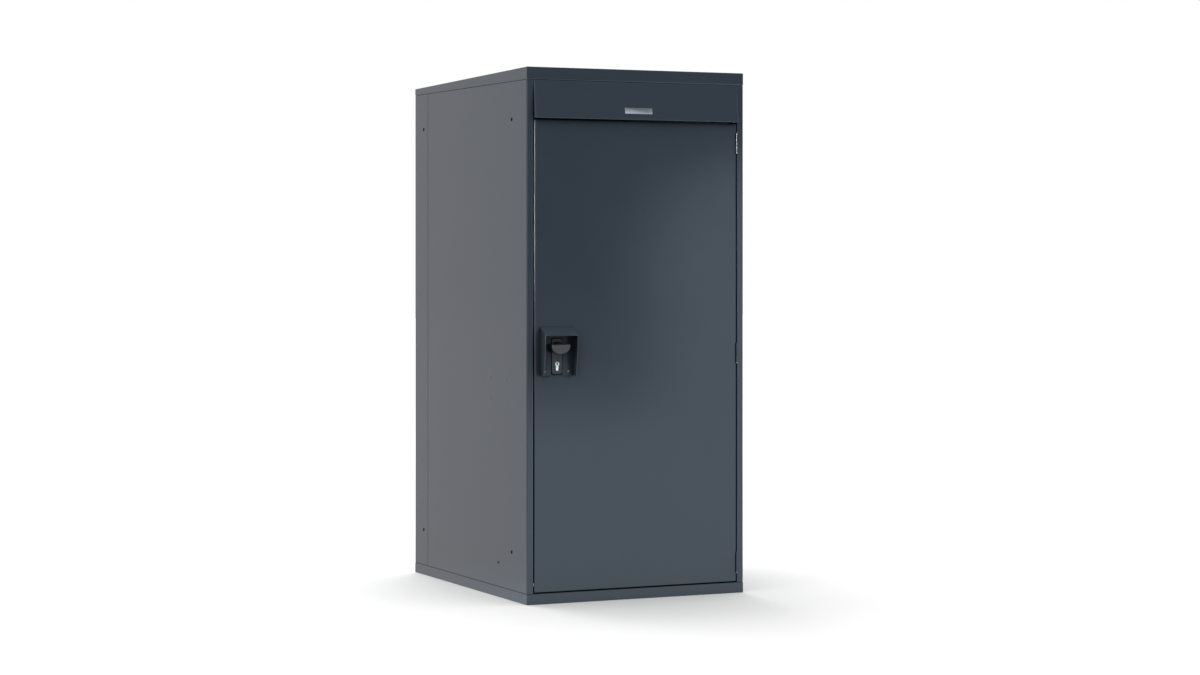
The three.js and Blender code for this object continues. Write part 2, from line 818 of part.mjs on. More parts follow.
// Door: a pan with returns and lips, three stiffeners, and the two guides of the rods
function buildDoor() {
  const tall = doorHigh - doorLow;
  const standing = pan(2 * doorHalf, tall, doorDepth, doorLip).rotate([90, 0, 0]);
  const skin = moved(standing, 0, frontY, doorMiddle);
  const upperHole = circle(lockX - rodOffset, rodY, rodHoleRadius);
  const lowerHole = circle(lockX + rodOffset, rodY, rodHoleRadius);
  const drill = (outline) => prism("y", outline, frontY - overrun, skinInside + sheet);
  place(
    "door_skin",
    cut(
      skin,
      prism("z", upperHole, doorHigh - foldRadius, doorHigh + overrun),
      prism("z", lowerHole, doorLow - overrun, doorLow + foldRadius),
      drill(circle(lockX, spindleHeight, hubRadius + seatGap)),
      drill(cylinderOutline(seatGap)),
      ...hoodRivetPlaces.map(([x, z]) => drill(circle(x, z, rivetShankRadius + seatGap, barSides))),
    ),
    "cabinet",
  );

  const from = lockX + hoodRivetSpread + rivetTailRadius + stiffenerFromRivet;
  const to = doorHalf - sheet - seatGap - foldRadius;
  const face = skinInside + seatGap;
  const reach = doorHigh - doorMiddle - stiffenerFromEnd;
  ["lower", "middle", "upper"].forEach((name, i) => {
    const z = doorMiddle + (i - 1) * reach;
    const hat = topHat(stiffenerWidth, stiffenerFlange, stiffenerDepth, sheet);
    const line = hat.map((p) => point(face - p.y, p.x + z));
    place(`door_stiffener_${name}`, prism("x", line, from, to), "cabinet");
  });

  const guide = (x, z) => {
    const section = folded(
      [point(face, z + guideHeight), point(face, z), point(rodY + rodRadius + guideSheet, z)].reverse(),
      guideSheet,
    );
    const bracket = prism("x", section, x - guideWidth / 2, x + guideWidth / 2);
    return cut(bracket, prism("z", circle(x, rodY, keepHoleRadius), z - overrun, z + overrun));
  };
  place("upper_rod_guide", guide(lockX - rodOffset, doorHigh - guideFromEnd), "zinc");
  place("lower_rod_guide", guide(lockX + rodOffset, doorLow + guideFromEnd), "zinc");
}

// Hood of folded plate round the lock: sloping top, front lip, open below, with a slot in its back
function buildHood() {
  const face = frontY - seatGap;
  const brow = point(hoodFront, hoodHigh - hoodFall);
  const knee = point(hoodFront, hoodLow + hoodKneeRise);
  const slope = hoodFall / hoodReach;
  const lean = (hoodReach - hoodFootReach) / hoodKneeRise;
  const profile = [
    point(face + overrun, hoodHigh + overrun * slope),
    brow,
    knee,
    point(face - hoodFootReach + overrun * lean, hoodLow - overrun),
  ];
  const half = hoodWidth / 2;
  const fold = wasm.Manifold.sphere(hoodFold, barSides);
  const corners = [...beside(profile, -hoodFold), point(face + overrun, hoodLow - overrun)];
  const folds = corners.flatMap((at) =>
    [hoodFold - half, half - hoodFold].map((x) => moved(fold, lockX + x, at.x, at.y)),
  );
  const outside = common(
    wasm.Manifold.hull(folds),
    block([lockX - half, hoodFront, hoodLow], [lockX + half, face, hoodHigh]),
  );

  const under = hoodPlate * Math.hypot(1, slope);
  const lipLow = brow.y - hoodLipDepth;
  const hollow = [
    point(face - hoodPlate, hoodLow - overrun),
    point(face - hoodPlate, hoodHigh - hoodPlate * slope - under),
    point(hoodFront + hoodPlate, brow.y + hoodPlate * slope - under),
    point(hoodFront + hoodPlate, lipLow),
    point(hoodFront - overrun, lipLow),
    point(hoodFront - overrun, hoodLow - overrun),
  ];
  const slotHalf = escutcheonWidth / 2 + hoodSlotGap;
  const slot = block(
    [lockX - slotHalf, face - hoodPlate - overrun, hoodLow - overrun],
    [lockX + slotHalf, face + overrun, escutcheonHigh + hoodSlotGap],
  );
  const holes = hoodRivetPlaces.map(([x, z]) => {
    const hole = circle(x, z, rivetShankRadius + seatGap, barSides);
    return prism("y", hole, face - hoodPlate - overrun, face + overrun);
  });
  const hood = cut(
    outside,
    prism("x", hollow, lockX - half + hoodPlate, lockX + half - hoodPlate),
    slot,
    ...holes,
  );
  place("lock_hood", hood, "cabinet");

  const grip = skinInside + seatGap;
  const headY = face - hoodPlate - seatGap;
  const rivet = [
    point(0, headY - rivetHeadHeight),
    point(rivetHeadRadius / 2, headY - rivetHeadHeight * rivetDomeShare),
    point(rivetHeadRadius, headY - seatGap),
    point(rivetHeadRadius, headY),
    point(rivetShankRadius, headY),
    point(rivetShankRadius, grip),
    point(rivetTailRadius, grip),
    point(rivetTailRadius, grip + rivetHeadHeight / 2),
    point(0, grip + rivetHeadHeight),
  ];
  ["left", "right"].forEach((name, i) => {
    const [x, z] = hoodRivetPlaces[i];
    place(`hood_rivet_${name}`, turned(rivet, "y", [x, 0, z], barSides), "zinc");
  });
}

// Escutcheon plate and the fixed half of the profile cylinder
function buildEscutcheon() {
  const face = frontY - seatGap;
  const half = escutcheonWidth / 2;
  const outline = rectangle(lockX - half, escutcheonLow, lockX + half, escutcheonHigh, escutcheonCorner);
  place(
    "escutcheon",
    cut(
      prism("y", outline, face - escutcheonThickness, face),
      prism("y", circle(lockX, spindleHeight, neckRadius + seatGap), face - overrun, face + overrun),
      prism("y", cylinderOutline(seatGap), face - overrun, face + overrun),
    ),
    "black",
  );
  const bore = circle(lockX, cylinderZ, plugRadius + seatGap);
  place(
    "lock_cylinder",
    cut(
      prism("y", cylinderOutline(), cylinderNose, cylinderTail),
      prism("y", bore, cylinderNose - overrun, cylinderTail + overrun),
    ),
    "nickel",
  );
}

// Turn handle: a D-shaped grip on a round neck, with a square spindle through the door
function buildHandle() {
  const grip = new THREE.Shape();
  const halfWidth = handleHalfWidth - handleBevel;
  const drop = handleDrop - handleBevel;
  grip.moveTo(-halfWidth, -handleBevel);
  grip.lineTo(-halfWidth, -handleShoulder);
  grip.absellipse(0, -handleShoulder, halfWidth, drop - handleShoulder, Math.PI, 2 * Math.PI, false);
  grip.lineTo(halfWidth, -handleBevel);
  const shape = new THREE.ExtrudeGeometry(grip, {
    depth: handleThickness - 2 * handleBevel,
    bevelEnabled: true,
    bevelSize: handleBevel,
    bevelThickness: handleBevel,
    bevelSegments: foldSteps,
    curveSegments: roundSides / 2,
  });
  shape.translate(0, 0, handleBevel);
  shape.applyMatrix4(runs.y);
  shape.translate(lockX, handleFront + handleThickness, spindleHeight);
  const neckFront = handleFront + handleThickness / 2;
  const neckBack = frontY - 2 * seatGap;
  const socket = block(
    [lockX - socketHalf, neckBack - spindleGrip - seatGap, spindleHeight - socketHalf],
    [lockX + socketHalf, neckBack + overrun, spindleHeight + socketHalf],
  );
  const neck = prism("y", circle(lockX, spindleHeight, neckRadius), neckFront, neckBack);
  place("turn_handle", cut(join(solidOf(shape), neck), socket), "black");

  const half = spindleSize / 2;
  const spindle = block(
    [lockX - half, neckBack - spindleGrip, spindleHeight - half],
    [lockX + half, caseBack - sheet, spindleHeight + half],
  );
  place("handle_spindle", spindle, "zinc");
}

// The outline of the pinion: involute flanks, with a tooth space on each of the four main directions.
function pinionOutline() {
  const base = pitchRadius * Math.cos(pressureAngle);
  const tip = pitchRadius + tipReach;
  const root = pitchRadius - rootReach;
  const involute = (radius) => {
    const angle = Math.acos(Math.min(base / radius, 1));
    return Math.tan(angle) - angle;
  };
  const halfAtPitch = (Math.PI * toothModule - toothBacklash) / 4 / pitchRadius;
  const halfAt = (radius) => halfAtPitch + involute(pitchRadius) - involute(Math.max(radius, base));
  const flankShares = [0, 0.35, 0.7, 1];
  const outline = [];
  const put = (radius, angle) => {
    outline.push(point(lockX + radius * Math.cos(angle), spindleHeight + radius * Math.sin(angle)));
  };
  for (let tooth = 0; tooth < pinionTeeth; tooth++) {
    const middle = ((tooth + 0.5) / pinionTeeth) * 2 * Math.PI;
    put(root, middle - halfAt(base));
    flankShares.forEach((share) => {
      const radius = base + (tip - base) * share;
      put(radius, middle - halfAt(radius));
    });
    flankShares.toReversed().forEach((share) => {
      const radius = base + (tip - base) * share;
      put(radius, middle + halfAt(radius));
    });
    put(root, middle + halfAt(base));
  }
  return outline;
}

// A rack on a flat bar that carries on as a round rod. The side is -1 left or +1 right of the pinion,
// the way is +1 for the rod that goes up and -1 for the one that goes down.
function rackRod(side, way, end) {
  const pitch = Math.PI * toothModule;
  const phase = side < 0 ? (pinionTeeth / 2) % 1 : 0;
  const slant = Math.tan(pressureAngle);
  const half = (pitch - toothBacklash) / 4;
  const x = (inward) => lockX + side * (pitchRadius - inward);
  const barLow = spindleHeight - way * (rodTravel + rackMargin);
  const barHigh = spindleHeight + way * rackMargin;
  const bar = block(
    [Math.min(x(-rootReach), x(-rootReach - rackBarWidth)), gearFront, Math.min(barLow, barHigh)],
    [Math.max(x(-rootReach), x(-rootReach - rackBarWidth)), gearBack, Math.max(barLow, barHigh)],
  );
  const teeth = [];
  const engaged = Math.ceil(rodTravel / pitch);
  for (let k = -engaged; k <= 1; k++) {
    const z = spindleHeight + way * (k + phase) * pitch;
    const foot = half + rootReach * slant;
    const crest = half - tipReach * slant;
    const tooth = [
      point(x(-rootReach - seatGap), z - foot),
      point(x(-rootReach), z - foot),
      point(x(tipReach), z - crest),
      point(x(tipReach), z + crest),
      point(x(-rootReach), z + foot),
      point(x(-rootReach - seatGap), z + foot),
    ];
    teeth.push(prism("y", tooth, gearFront, gearBack));
  }
  const rodX = lockX + side * rodOffset;
  const rodFrom = Math.min(barHigh - way * seatGap, end);
  const rodTo = Math.max(barHigh - way * seatGap, end);
  const rod = prism("z", circle(rodX, rodY, rodRadius, barSides), rodFrom, rodTo);
  return join(bar, ...teeth, rod);
}

// Gear train and rods
function buildDrive() {
  const hubRound = circle(lockX, spindleHeight, hubRadius);
  const hub = prism("y", hubRound, caseFront, caseBack + seatGap + coverSheet);
  const socket = block(
    [lockX - socketHalf, frontY - overrun, spindleHeight - socketHalf],
    [lockX + socketHalf, backY, spindleHeight + socketHalf],
  );
  const wheel = prism("y", pinionOutline(), gearFront, gearBack);
  place("drive_pinion", cut(join(wheel, hub), socket), "zinc");
  place("upper_rod", rackRod(-1, 1, doorHigh - rodSetBack), "zinc");
  place("lower_rod", rackRod(1, -1, doorLow + rodSetBack), "zinc");
}

// Lock case on the inside of the door, with its cover and the pin that guides the deadlock slide
function buildCase() {
  const outer = block([lockX - caseHalf, caseFront, caseLow], [lockX + caseHalf, caseBack, caseHigh]);
  const hollow = block(
    [lockX - caseHalf + sheet, caseFront + sheet, caseLow + sheet],
    [lockX + caseHalf - sheet, caseBack + overrun, caseHigh - sheet],
  );
  const hubRound = circle(lockX, spindleHeight, hubRadius + seatGap);
  const hubHole = prism("y", hubRound, caseFront - overrun, caseBack + overrun);
  const rodHole = (side, from, to) =>
    prism("z", circle(lockX + side * rodOffset, rodY, keepHoleRadius), from, to);
  const pinRound = circle(lockX, guidePinZ, guidePinRadius, barSides);
  const tray = cut(
    outer,
    hollow,
    hubHole,
    prism("y", cylinderOutline(seatGap), caseFront - overrun, caseFront + 2 * sheet),
    rodHole(-1, caseHigh - 2 * sheet, caseHigh + overrun),
    rodHole(1, caseLow - overrun, caseLow + 2 * sheet),
  );
  const guidePin = prism("y", pinRound, caseFront + sheet / 2, caseBack - sheet);
  place("lock_case", join(tray, guidePin), "zinc");

  const coverFront = caseBack + seatGap;
  const lid = rectangle(lockX - caseHalf, caseLow, lockX + caseHalf, caseHigh, foldRadius);
  const cover = cut(prism("y", lid, coverFront, coverFront + coverSheet), hubHole);
  place("lock_case_cover", cover, "zinc");
}

// Key plug with its cam, and the deadlock slide that the cam's crank pin lifts into the pinion
function buildDeadlock() {
  const half = keywayWidth / 2;
  const plugRound = circle(lockX, cylinderZ, plugRadius);
  const plug = prism("y", plugRound, cylinderNose - plugProud, cylinderTail);
  const keyway = block(
    [lockX - half, cylinderNose - overrun, cylinderZ - keywayHeight / 2],
    [lockX + half, cylinderNose + keywayDepth, cylinderZ + keywayHeight / 2],
  );
  place("cylinder_plug", cut(plug, keyway), "nickel");

  const camFront = cylinderTail + seatGap;
  const camBack = camFront + camThickness;
  const slideFront = camBack + seatGap;
  const slideBack = slideFront + slideThickness;
  const pinX = lockX - crankRadius;
  const cam = prism("y", circle(lockX, cylinderZ, camRadius), camFront, camBack);
  const crank = prism(
    "y",
    circle(pinX, cylinderZ, crankPinRadius, barSides),
    camFront + camThickness / 2,
    slideBack + seatGap,
  );
  place("cylinder_cam", join(cam, crank), "nickel");

  const tipZ = spindleHeight - pitchRadius + rootReach - slideRootGap - crankRadius;
  const shoulder = tipZ - slideTipHeight - slideNeckWidth / 2;
  const blade = [
    point(lockX - slideWidth / 2, cylinderZ - slideFoot),
    point(lockX + slideWidth / 2, cylinderZ - slideFoot),
    point(lockX + slideWidth / 2, shoulder - slideNeckWidth / 2),
    point(lockX + slideNeckWidth / 2, shoulder),
    point(lockX + slideNeckWidth / 2, tipZ - slideTipHeight - slideNeckWidth / 4),
    point(lockX + slideTipWidth, tipZ - slideTipHeight),
    point(lockX + slideTipWidth / 2, tipZ),
    point(lockX - slideTipWidth / 2, tipZ),
    point(lockX - slideTipWidth, tipZ - slideTipHeight),
    point(lockX - slideNeckWidth / 2, tipZ - slideTipHeight - slideNeckWidth / 4),
    point(lockX - slideNeckWidth / 2, shoulder),
    point(lockX - slideWidth / 2, shoulder - slideNeckWidth / 2),
  ];
  const crankSlot = block(
    [pinX - crankPinRadius - seatGap, frontY, cylinderZ - crankPinRadius - seatGap],
    [lockX + crankPinRadius + seatGap, backY, cylinderZ + crankPinRadius + crankPlay],
  );
  const guideHalf = guidePinRadius + seatGap;
  const guideSlot = block(
    [lockX - guideHalf, frontY, guidePinZ - guideHalf - crankRadius],
    [lockX + guideHalf, backY, guidePinZ + guideHalf],
  );
  const plate = prism("y", blade, slideFront, slideBack);
  place("deadlock_slide", cut(plate, crankSlot, guideSlot), "zinc");
}

// The four rivet places of the anchor in the left side, as (y, z)
function anchorPlaces() {
  const y = frontY + anchorFromFront;
  const across = anchorRivetAcross / 2;
  const up = anchorRivetUp / 2;
  return [
    [y - across, anchorHeight - up],
    [y + across, anchorHeight - up],
    [y + across, anchorHeight + up],
    [y - across, anchorHeight + up],
  ];
}

// Inside fittings: hook and wheel channel on the back, riveted locking anchor on the left
function buildFittings() {
  const wall = backY - sheet - seatGap;
  const plateFront = wall - hookPlateThickness;
  const plate = rectangle(
    -hookPlateWidth / 2,
    hookHeight - hookPlateHeight / 2,
    hookPlateWidth / 2,
    hookHeight + hookPlateHeight / 2,
    hookBarRadius,
  );
  const hookPath = [
    new THREE.Vector3(0, plateFront + hookPlateThickness / 2, hookHeight),
    new THREE.Vector3(0, plateFront - hookReach, hookHeight),
    new THREE.Vector3(0, plateFront - hookReach, hookHeight + hookRise + hookBend),
  ];
  const hook = join(prism("y", plate, plateFront, wall), barAlong(hookPath, hookBend, hookBarRadius));
  place("wheel_hook", hook, "zinc");
  const sleeveStart = hookPlateThickness / 2 + sleeveFromPlate;
  const sleeve = cut(
    barAlong(hookPath, hookBend, hookBarRadius + seatGap + sleeveWall, sleeveStart, sleeveShort),
    barAlong(hookPath, hookBend, hookBarRadius + seatGap),
  );
  place("hook_sleeve", sleeve, "rubber");

  const half = channelWidth / 2;
  const channel = [
    point(-half, wall - channelDepth),
    point(-half, wall),
    point(half, wall),
    point(half, wall - channelDepth),
  ];
  const channelHigh = hookHeight - channelFromHook;
  const line = folded(channel, channelSheet);
  place("wheel_channel", prism("z", line, channelLow, channelHigh), "zinc");

  const inner = leftX + sheet + seatGap;
  const plateFace = inner + anchorPlateThickness;
  const y = frontY + anchorFromFront;
  const across = anchorRivetAcross / 2 + anchorPlateMargin;
  const up = anchorRivetUp / 2 + anchorPlateMargin;
  const low = anchorHeight - up;
  const anchor = rectangle(y - across, low, y + across, anchorHeight + up, loopBarRadius);
  const head = [
    point(0, -anchorHeadHeight - seatGap),
    point(anchorHeadRadius / 2, -anchorHeadHeight * rivetDomeShare - seatGap),
    point(anchorHeadRadius, -2 * seatGap),
    point(anchorHeadRadius, -seatGap),
    point(anchorRivetRadius, -seatGap),
    point(anchorRivetRadius, sheet + seatGap + anchorPlateThickness / 2),
    point(0, sheet + seatGap + anchorPlateThickness / 2),
  ];
  const rivets = anchorPlaces().map((at) => turned(head, "x", [leftX, ...at], barSides));
  place("anchor_plate", join(prism("x", anchor, inner, plateFace), ...rivets), "cabinet");

  const loopX = plateFace + seatGap;
  const loop = [
    new THREE.Vector3(loopX, y - loopSpan / 2, anchorHeight),
    new THREE.Vector3(loopX + loopReach, y - loopSpan / 2, anchorHeight),
    new THREE.Vector3(loopX + loopReach, y + loopSpan / 2, anchorHeight),
    new THREE.Vector3(loopX, y + loopSpan / 2, anchorHeight),
  ];
  place("anchor_loop", barAlong(loop, loopBend, loopBarRadius), "zinc");
}

buildBase();
buildSides();
buildBack();
buildRoof();
buildFascia();
buildHeader();
buildKeeps();
buildHinges();
buildStops();
buildDoor();
buildHood();
buildEscutcheon();
buildHandle();
buildDrive();
buildCase();
buildDeadlock();
buildFittings();

export default locker;
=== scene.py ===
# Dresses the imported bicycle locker: its finishes, the blank plate on the fascia, the rounded lock
# furniture and hinges, the rivets, bolts and spot welds, and the stage that it stands on.
# Metres. The frame is the CAD's: +X to the right seen from the front, the front faces -Y, +Z is up.

import json
import math

import bmesh
import bpy
from bpy.props import FloatProperty, FloatVectorProperty, IntProperty, PointerProperty
from mathutils import Matrix, Vector


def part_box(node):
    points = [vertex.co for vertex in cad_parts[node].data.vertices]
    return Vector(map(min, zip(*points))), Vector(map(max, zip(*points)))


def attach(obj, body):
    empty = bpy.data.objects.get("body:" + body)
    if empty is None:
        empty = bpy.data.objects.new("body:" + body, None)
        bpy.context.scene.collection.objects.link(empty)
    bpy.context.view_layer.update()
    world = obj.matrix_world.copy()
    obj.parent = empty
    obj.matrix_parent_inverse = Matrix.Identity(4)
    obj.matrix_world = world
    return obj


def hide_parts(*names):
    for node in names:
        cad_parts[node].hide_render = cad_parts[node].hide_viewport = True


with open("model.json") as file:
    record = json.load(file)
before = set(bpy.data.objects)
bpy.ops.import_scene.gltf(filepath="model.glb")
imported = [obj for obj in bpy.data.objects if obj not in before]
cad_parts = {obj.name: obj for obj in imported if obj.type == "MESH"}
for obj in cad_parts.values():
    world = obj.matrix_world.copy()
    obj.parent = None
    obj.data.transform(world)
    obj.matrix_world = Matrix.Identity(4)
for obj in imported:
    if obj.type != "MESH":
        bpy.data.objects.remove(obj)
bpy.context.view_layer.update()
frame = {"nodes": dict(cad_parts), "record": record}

bl_info = {
    "name": "Bicycle Locker",
    "version": (1, 0, 0),
    "blender": (4, 5, 0),
    "location": "3D View > Sidebar > Locker",
    "description": "Finishes, small fasteners and stage of an upright steel bicycle locker",
    "category": "Object",
}

TOUCH = 0.0003  # how deep the foot of a head reaches into the face under it
MERGE = 0.00001  # corners closer than this are one
FLAT = math.radians(0.5)  # faces that turn less than this are one
SOFT_TURN = math.radians(38)  # edges that turn less than this are shaded smooth
ROUND = 24  # steps of a turned shape
PLACES = ("lower", "middle", "upper")


# Settings

def size(name, description, default):
    return FloatProperty(name=name, description=description, default=default, min=0.0, precision=5, unit="LENGTH")


def share(name, description, default):
    return FloatProperty(name=name, description=description, default=default, min=0.0, soft_max=1.0, subtype="FACTOR")


def colour(name, description, default):
    return FloatVectorProperty(
        name=name, description=description, default=default, size=3, min=0.0, max=1.0, subtype="COLOR_GAMMA",
    )


def tone(name, description, default):
    return FloatVectorProperty(name=name, description=description, default=default, size=3)


def power(name, description, default):
    return FloatProperty(name=name, description=description, default=default, min=0.0, unit="POWER")


def section(kind, name, description):
    return PointerProperty(type=kind, name=name, description=description)


class PaintSettings(bpy.types.PropertyGroup):
    """Powder coat of the cabinet and the door"""

    tone: colour("Tone", "Blue-grey of the powder coat", (0.208, 0.247, 0.286))
    roughness: share("Roughness", "Roughness of the coat", 0.115)
    peel_size: size("Orange peel size", "Length of one wave of the orange peel", 0.0028)
    peel_depth: size("Orange peel depth", "Height of the waves", 0.000006)
    dust: share("Dust", "Dust that lies on faces which look up", 0.015)
    # Paler edges: partly a thinner or rubbed coat, partly a painted highlight along the folds.
    wear_and_highlight_width: size("Wear width", "Width of the thinner coat along edges", 0.0012)
    wear_and_highlight: share("Wear", "How much the coat pales along edges", 0.35)
    # Painted shade: how much hollows and gaps are darkened in the base colour, and how far away a wall still counts.
    shade: share("Shade", "How much hollows and gaps darken", 0.92)
    shade_reach: size("Shade reach", "How far away a wall still darkens a hollow", 0.08)


class MetalSettings(bpy.types.PropertyGroup):
    """Plated and coated small parts"""

    zinc: colour("Zinc", "Bright zinc plate", (0.80, 0.81, 0.82))
    zinc_roughness: share("Zinc roughness", "Roughness of the zinc plate", 0.33)
    dull_zinc: colour("Dull zinc", "Zinc that has dulled in the open", (0.50, 0.52, 0.55))
    nickel: colour("Nickel", "Satin nickel plate", (0.98, 0.975, 0.96))
    nickel_roughness: share("Nickel roughness", "Roughness of the nickel plate", 0.42)
    black_coat: colour("Black coat", "Textured black coat of the handle", (0.245, 0.241, 0.232))
    black_plastic: colour("Black plastic", "Grained moulding of the escutcheon", (0.235, 0.231, 0.224))
    rubber: colour("Rubber", "Black rubber", (0.06, 0.06, 0.062))
    # Painted shade: the rod keeps and the keyway rim are made black so that they read as dark as the shade round them.
    black_steel_shade: colour("Black steel", "Blackened steel of the hardened keeps", (0.15, 0.15, 0.155))
    nylon: colour("Nylon", "Grey nylon", (0.6, 0.61, 0.62))
    plate: colour("Plate", "Brushed blank plate", (0.74, 0.74, 0.73))


class PlateSettings(bpy.types.PropertyGroup):
    """Blank plate on the fascia"""

    width: size("Width", "Width of the plate", 0.112)
    height: size("Height", "Height of the plate", 0.0225)
    thickness: size("Thickness", "Thickness of the plate", 0.0012)
    corner: size("Corner", "Radius of its corners", 0.0016)
    edge: size("Edge", "Radius of its front edge", 0.0004)
    level: size("Level", "Height of its middle above the ground", 1.798)


class LockSettings(bpy.types.PropertyGroup):
    """Lock furniture and hinges"""

    edge: size("Edge", "Rounding of the escutcheon's edges", 0.0006)
    fine_edge: size("Fine edge", "Rounding of turned and drilled edges", 0.00025)
    grip_edge: size("Grip edge", "Rounding of the grip's edges", 0.0014)
    grip_spread: share("Grip spread", "How much wider the rounded grip is than its blank", 1.08)
    neck_radius: size("Neck radius", "Radius of the neck behind the grip", 0.01)
    neck_slope: share("Neck slope", "How far the neck's end leans back over its rise above the grip", 2.0)
    # Painted shadow: the gasket's rim shows as the dark line round the escutcheon.
    shadow_gasket_margin: size("Gasket margin", "How far the gasket shows round the escutcheon", 0.003)
    shadow_gasket_thickness: size("Gasket thickness", "Thickness of the gasket", 0.001)
    shadow_gasket_corner: size("Gasket corner", "Radius of the gasket's corners", 0.007)
    # Painted shade round the keyway.
    keyway_shade_rim: size("Keyway shade rim", "Width of the dark rim round the keyway", 0.0017)
    rivet_radius: size("Rivet radius", "Radius of a blind rivet's head", 0.0044)
    rivet_rise: size("Rivet rise", "Height of a blind rivet's head", 0.0017)
    rivet_bore: size("Rivet bore", "Radius of the hole that its mandrel leaves", 0.0012)
    anchor_head: size("Anchor head", "Radius of the anchor's painted rivet heads", 0.0052)


class FastenerSettings(bpy.types.PropertyGroup):
    """Bolts, rivets, welds and sleeves"""

    bolt_radius: size("Bolt radius", "Radius over the corners of a bolt's head", 0.0065)
    bolt_rise: size("Bolt rise", "Height of a bolt's head", 0.0042)
    washer_radius: size("Washer radius", "Radius of the washer under it", 0.0085)
    washer_thickness: size("Washer thickness", "Thickness of the washer", 0.0013)
    screw_radius: size("Screw radius", "Radius of a cover screw's head", 0.0032)
    screw_rise: size("Screw rise", "Height of a cover screw's head", 0.0016)
    weld_radius: size("Weld radius", "Radius of a spot weld's ring", 0.003)
    weld_rise: size("Weld rise", "Height of a spot weld's rim", 0.00025)
    weld_pitch: size("Weld pitch", "Distance between spot welds", 0.11)
    channel_rivets: IntProperty(name="Channel rivets", description="Rivets of the wheel channel", default=5, min=2)
    floor_pitch: size("Floor pitch", "Distance between the rivets of the floor", 0.3)
    link_inset: size("Link inset", "Distance of the link holes from the front, top and bottom of a side", 0.139)
    link_rear: size("Link rear", "Distance of the rear link holes from the back", 0.094)


class StageSettings(bpy.types.PropertyGroup):
    """Floor, light and camera"""

    floor_span: size("Floor span", "Length of the floor's sides", 80.0)
    floor_tone: share("Floor tone", "Reflectance of the floor as the camera sees it", 0.685)
    floor_bounce: share("Floor bounce", "Reflectance of the floor as it lights the locker", 0.3)
    sky: share("Sky", "Strength of the light from the horizon", 1.08)
    zenith: share("Zenith", "Strength added straight above", 0.4)
    key: power("Key light", "Power of the soft light from above, behind", 285.0)
    edge: power("Edge light", "Power of the light that only shows in folds", 420.0)
    front_tone: tone("Front tone", "What the paint mirrors in front", (1.01, 1.18, 1.35))
    rear_tone: tone("Rear tone", "What the paint mirrors behind", (0.775, 0.755, 0.76))
    left_tone: tone("Left tone", "What the folds mirror on the left", (0.15, 0.17, 0.2))
    top_tone: tone("Top tone", "What the paint mirrors above", (0.12, 0.14, 0.17))
    lens: FloatProperty(name="Lens", description="Focal length", default=80.3, min=1.0, unit="CAMERA")
    horizon: FloatProperty(name="Horizon", description="Shift of the view, as a share of its width", default=-0.0696)
    heading: FloatProperty(
        name="Heading", description="Turn of the camera from the front", default=math.radians(-25.0), subtype="ANGLE",
    )
    eye: FloatVectorProperty(
        name="Eye", description="Place of the camera", default=(-4.2939, -9.4460, 1.2714), subtype="TRANSLATION",
    )


class LockerSettings(bpy.types.PropertyGroup):
    """All settings of the locker"""

    paint: section(PaintSettings, "Paint", "Powder coat")
    metal: section(MetalSettings, "Small parts", "Plated and coated parts")
    plate: section(PlateSettings, "Plate", "Blank plate")
    lock: section(LockSettings, "Lock", "Lock furniture and hinges")
    fasteners: section(FastenerSettings, "Fasteners", "Bolts, rivets, welds and sleeves")
    stage: section(StageSettings, "Stage", "Floor, light and camera")


# Node wiring

def linear(shown):
    """The linear value of a colour that is written as it shows on a screen."""
    return tuple(c / 12.92 if c <= 0.04045 else ((c + 0.055) / 1.055) ** 2.4 for c in shown)


class Wiring:
    """Adds nodes to a tree and joins them."""

    def __init__(self, tree):
        self.tree = tree

    def feed(self, socket, value):
        if isinstance(value, bpy.types.NodeSocket):
            self.tree.links.new(value, socket)
        else:
            socket.default_value = value

    def node(self, kind, inputs=None, **settings):
        node = self.tree.nodes.new("ShaderNode" + kind)
        for name, value in settings.items():
            setattr(node, name, value)
        for name, value in (inputs or {}).items():
            self.feed(node.inputs[name], value)
        return node

    def group(self, tree, inputs):
        return self.node("Group", inputs, node_tree=tree).outputs

    def math(self, operation, first, second=0.0, clamp=False):
        return self.node("Math", {0: first, 1: second}, operation=operation, use_clamp=clamp).outputs[0]

    def plus(self, first, second, clamp=False):
        return self.math("ADD", first, second, clamp)

    def minus(self, first, second):
        return self.math("SUBTRACT", first, second)

    def times(self, first, second, clamp=False):
        return self.math("MULTIPLY", first, second, clamp)

    def vector(self, operation, first, second=(0, 0, 0)):
        return self.node("VectorMath", {0: first, 1: second}, operation=operation).outputs

    def ramp(self, value, low, high, to_low=0.0, to_high=1.0):
        inputs = {"Value": value, "From Min": low, "From Max": high, "To Min": to_low, "To Max": to_high}
        return self.node("MapRange", inputs, interpolation_type="SMOOTHSTEP").outputs["Result"]

    def blend(self, amount, first, second):
        node = self.node("Mix", data_type="RGBA")
        given = {"Factor_Float": amount, "A_Color": first, "B_Color": second}
        for socket in node.inputs:
            if socket.identifier in given:
                self.feed(socket, given[socket.identifier])
        return next(s for s in node.outputs if s.identifier == "Result_Color")

    def brighter(self, shown, amount):
        return self.node("HueSaturation", {"Color": shown, "Value": amount}).outputs[0]

    def noise(self, coords, scale, detail=2.0, roughness=0.5, output="Fac"):
        inputs = {"Vector": coords, "Scale": scale, "Detail": detail, "Roughness": roughness}
        return self.node("TexNoise", inputs).outputs[output]

    def coords(self):
        return self.node("TexCoord").outputs["Object"]

    def facing(self):
        return self.node("NewGeometry").outputs["Normal"]

    def parts(self, vector):
        return self.node("SeparateXYZ", {0: vector}).outputs

    def mix(self, amount, first, second):
        return self.node("MixShader", {0: amount, 1: first, 2: second}).outputs[0]

    def finish(self, kind, shader):
        self.feed(self.node(kind).inputs["Surface"], shader)


def emptied(data):
    """The wiring of a material or world whose own nodes are taken out."""
    data.use_nodes = True
    data.node_tree.nodes.clear()
    return Wiring(data.node_tree)


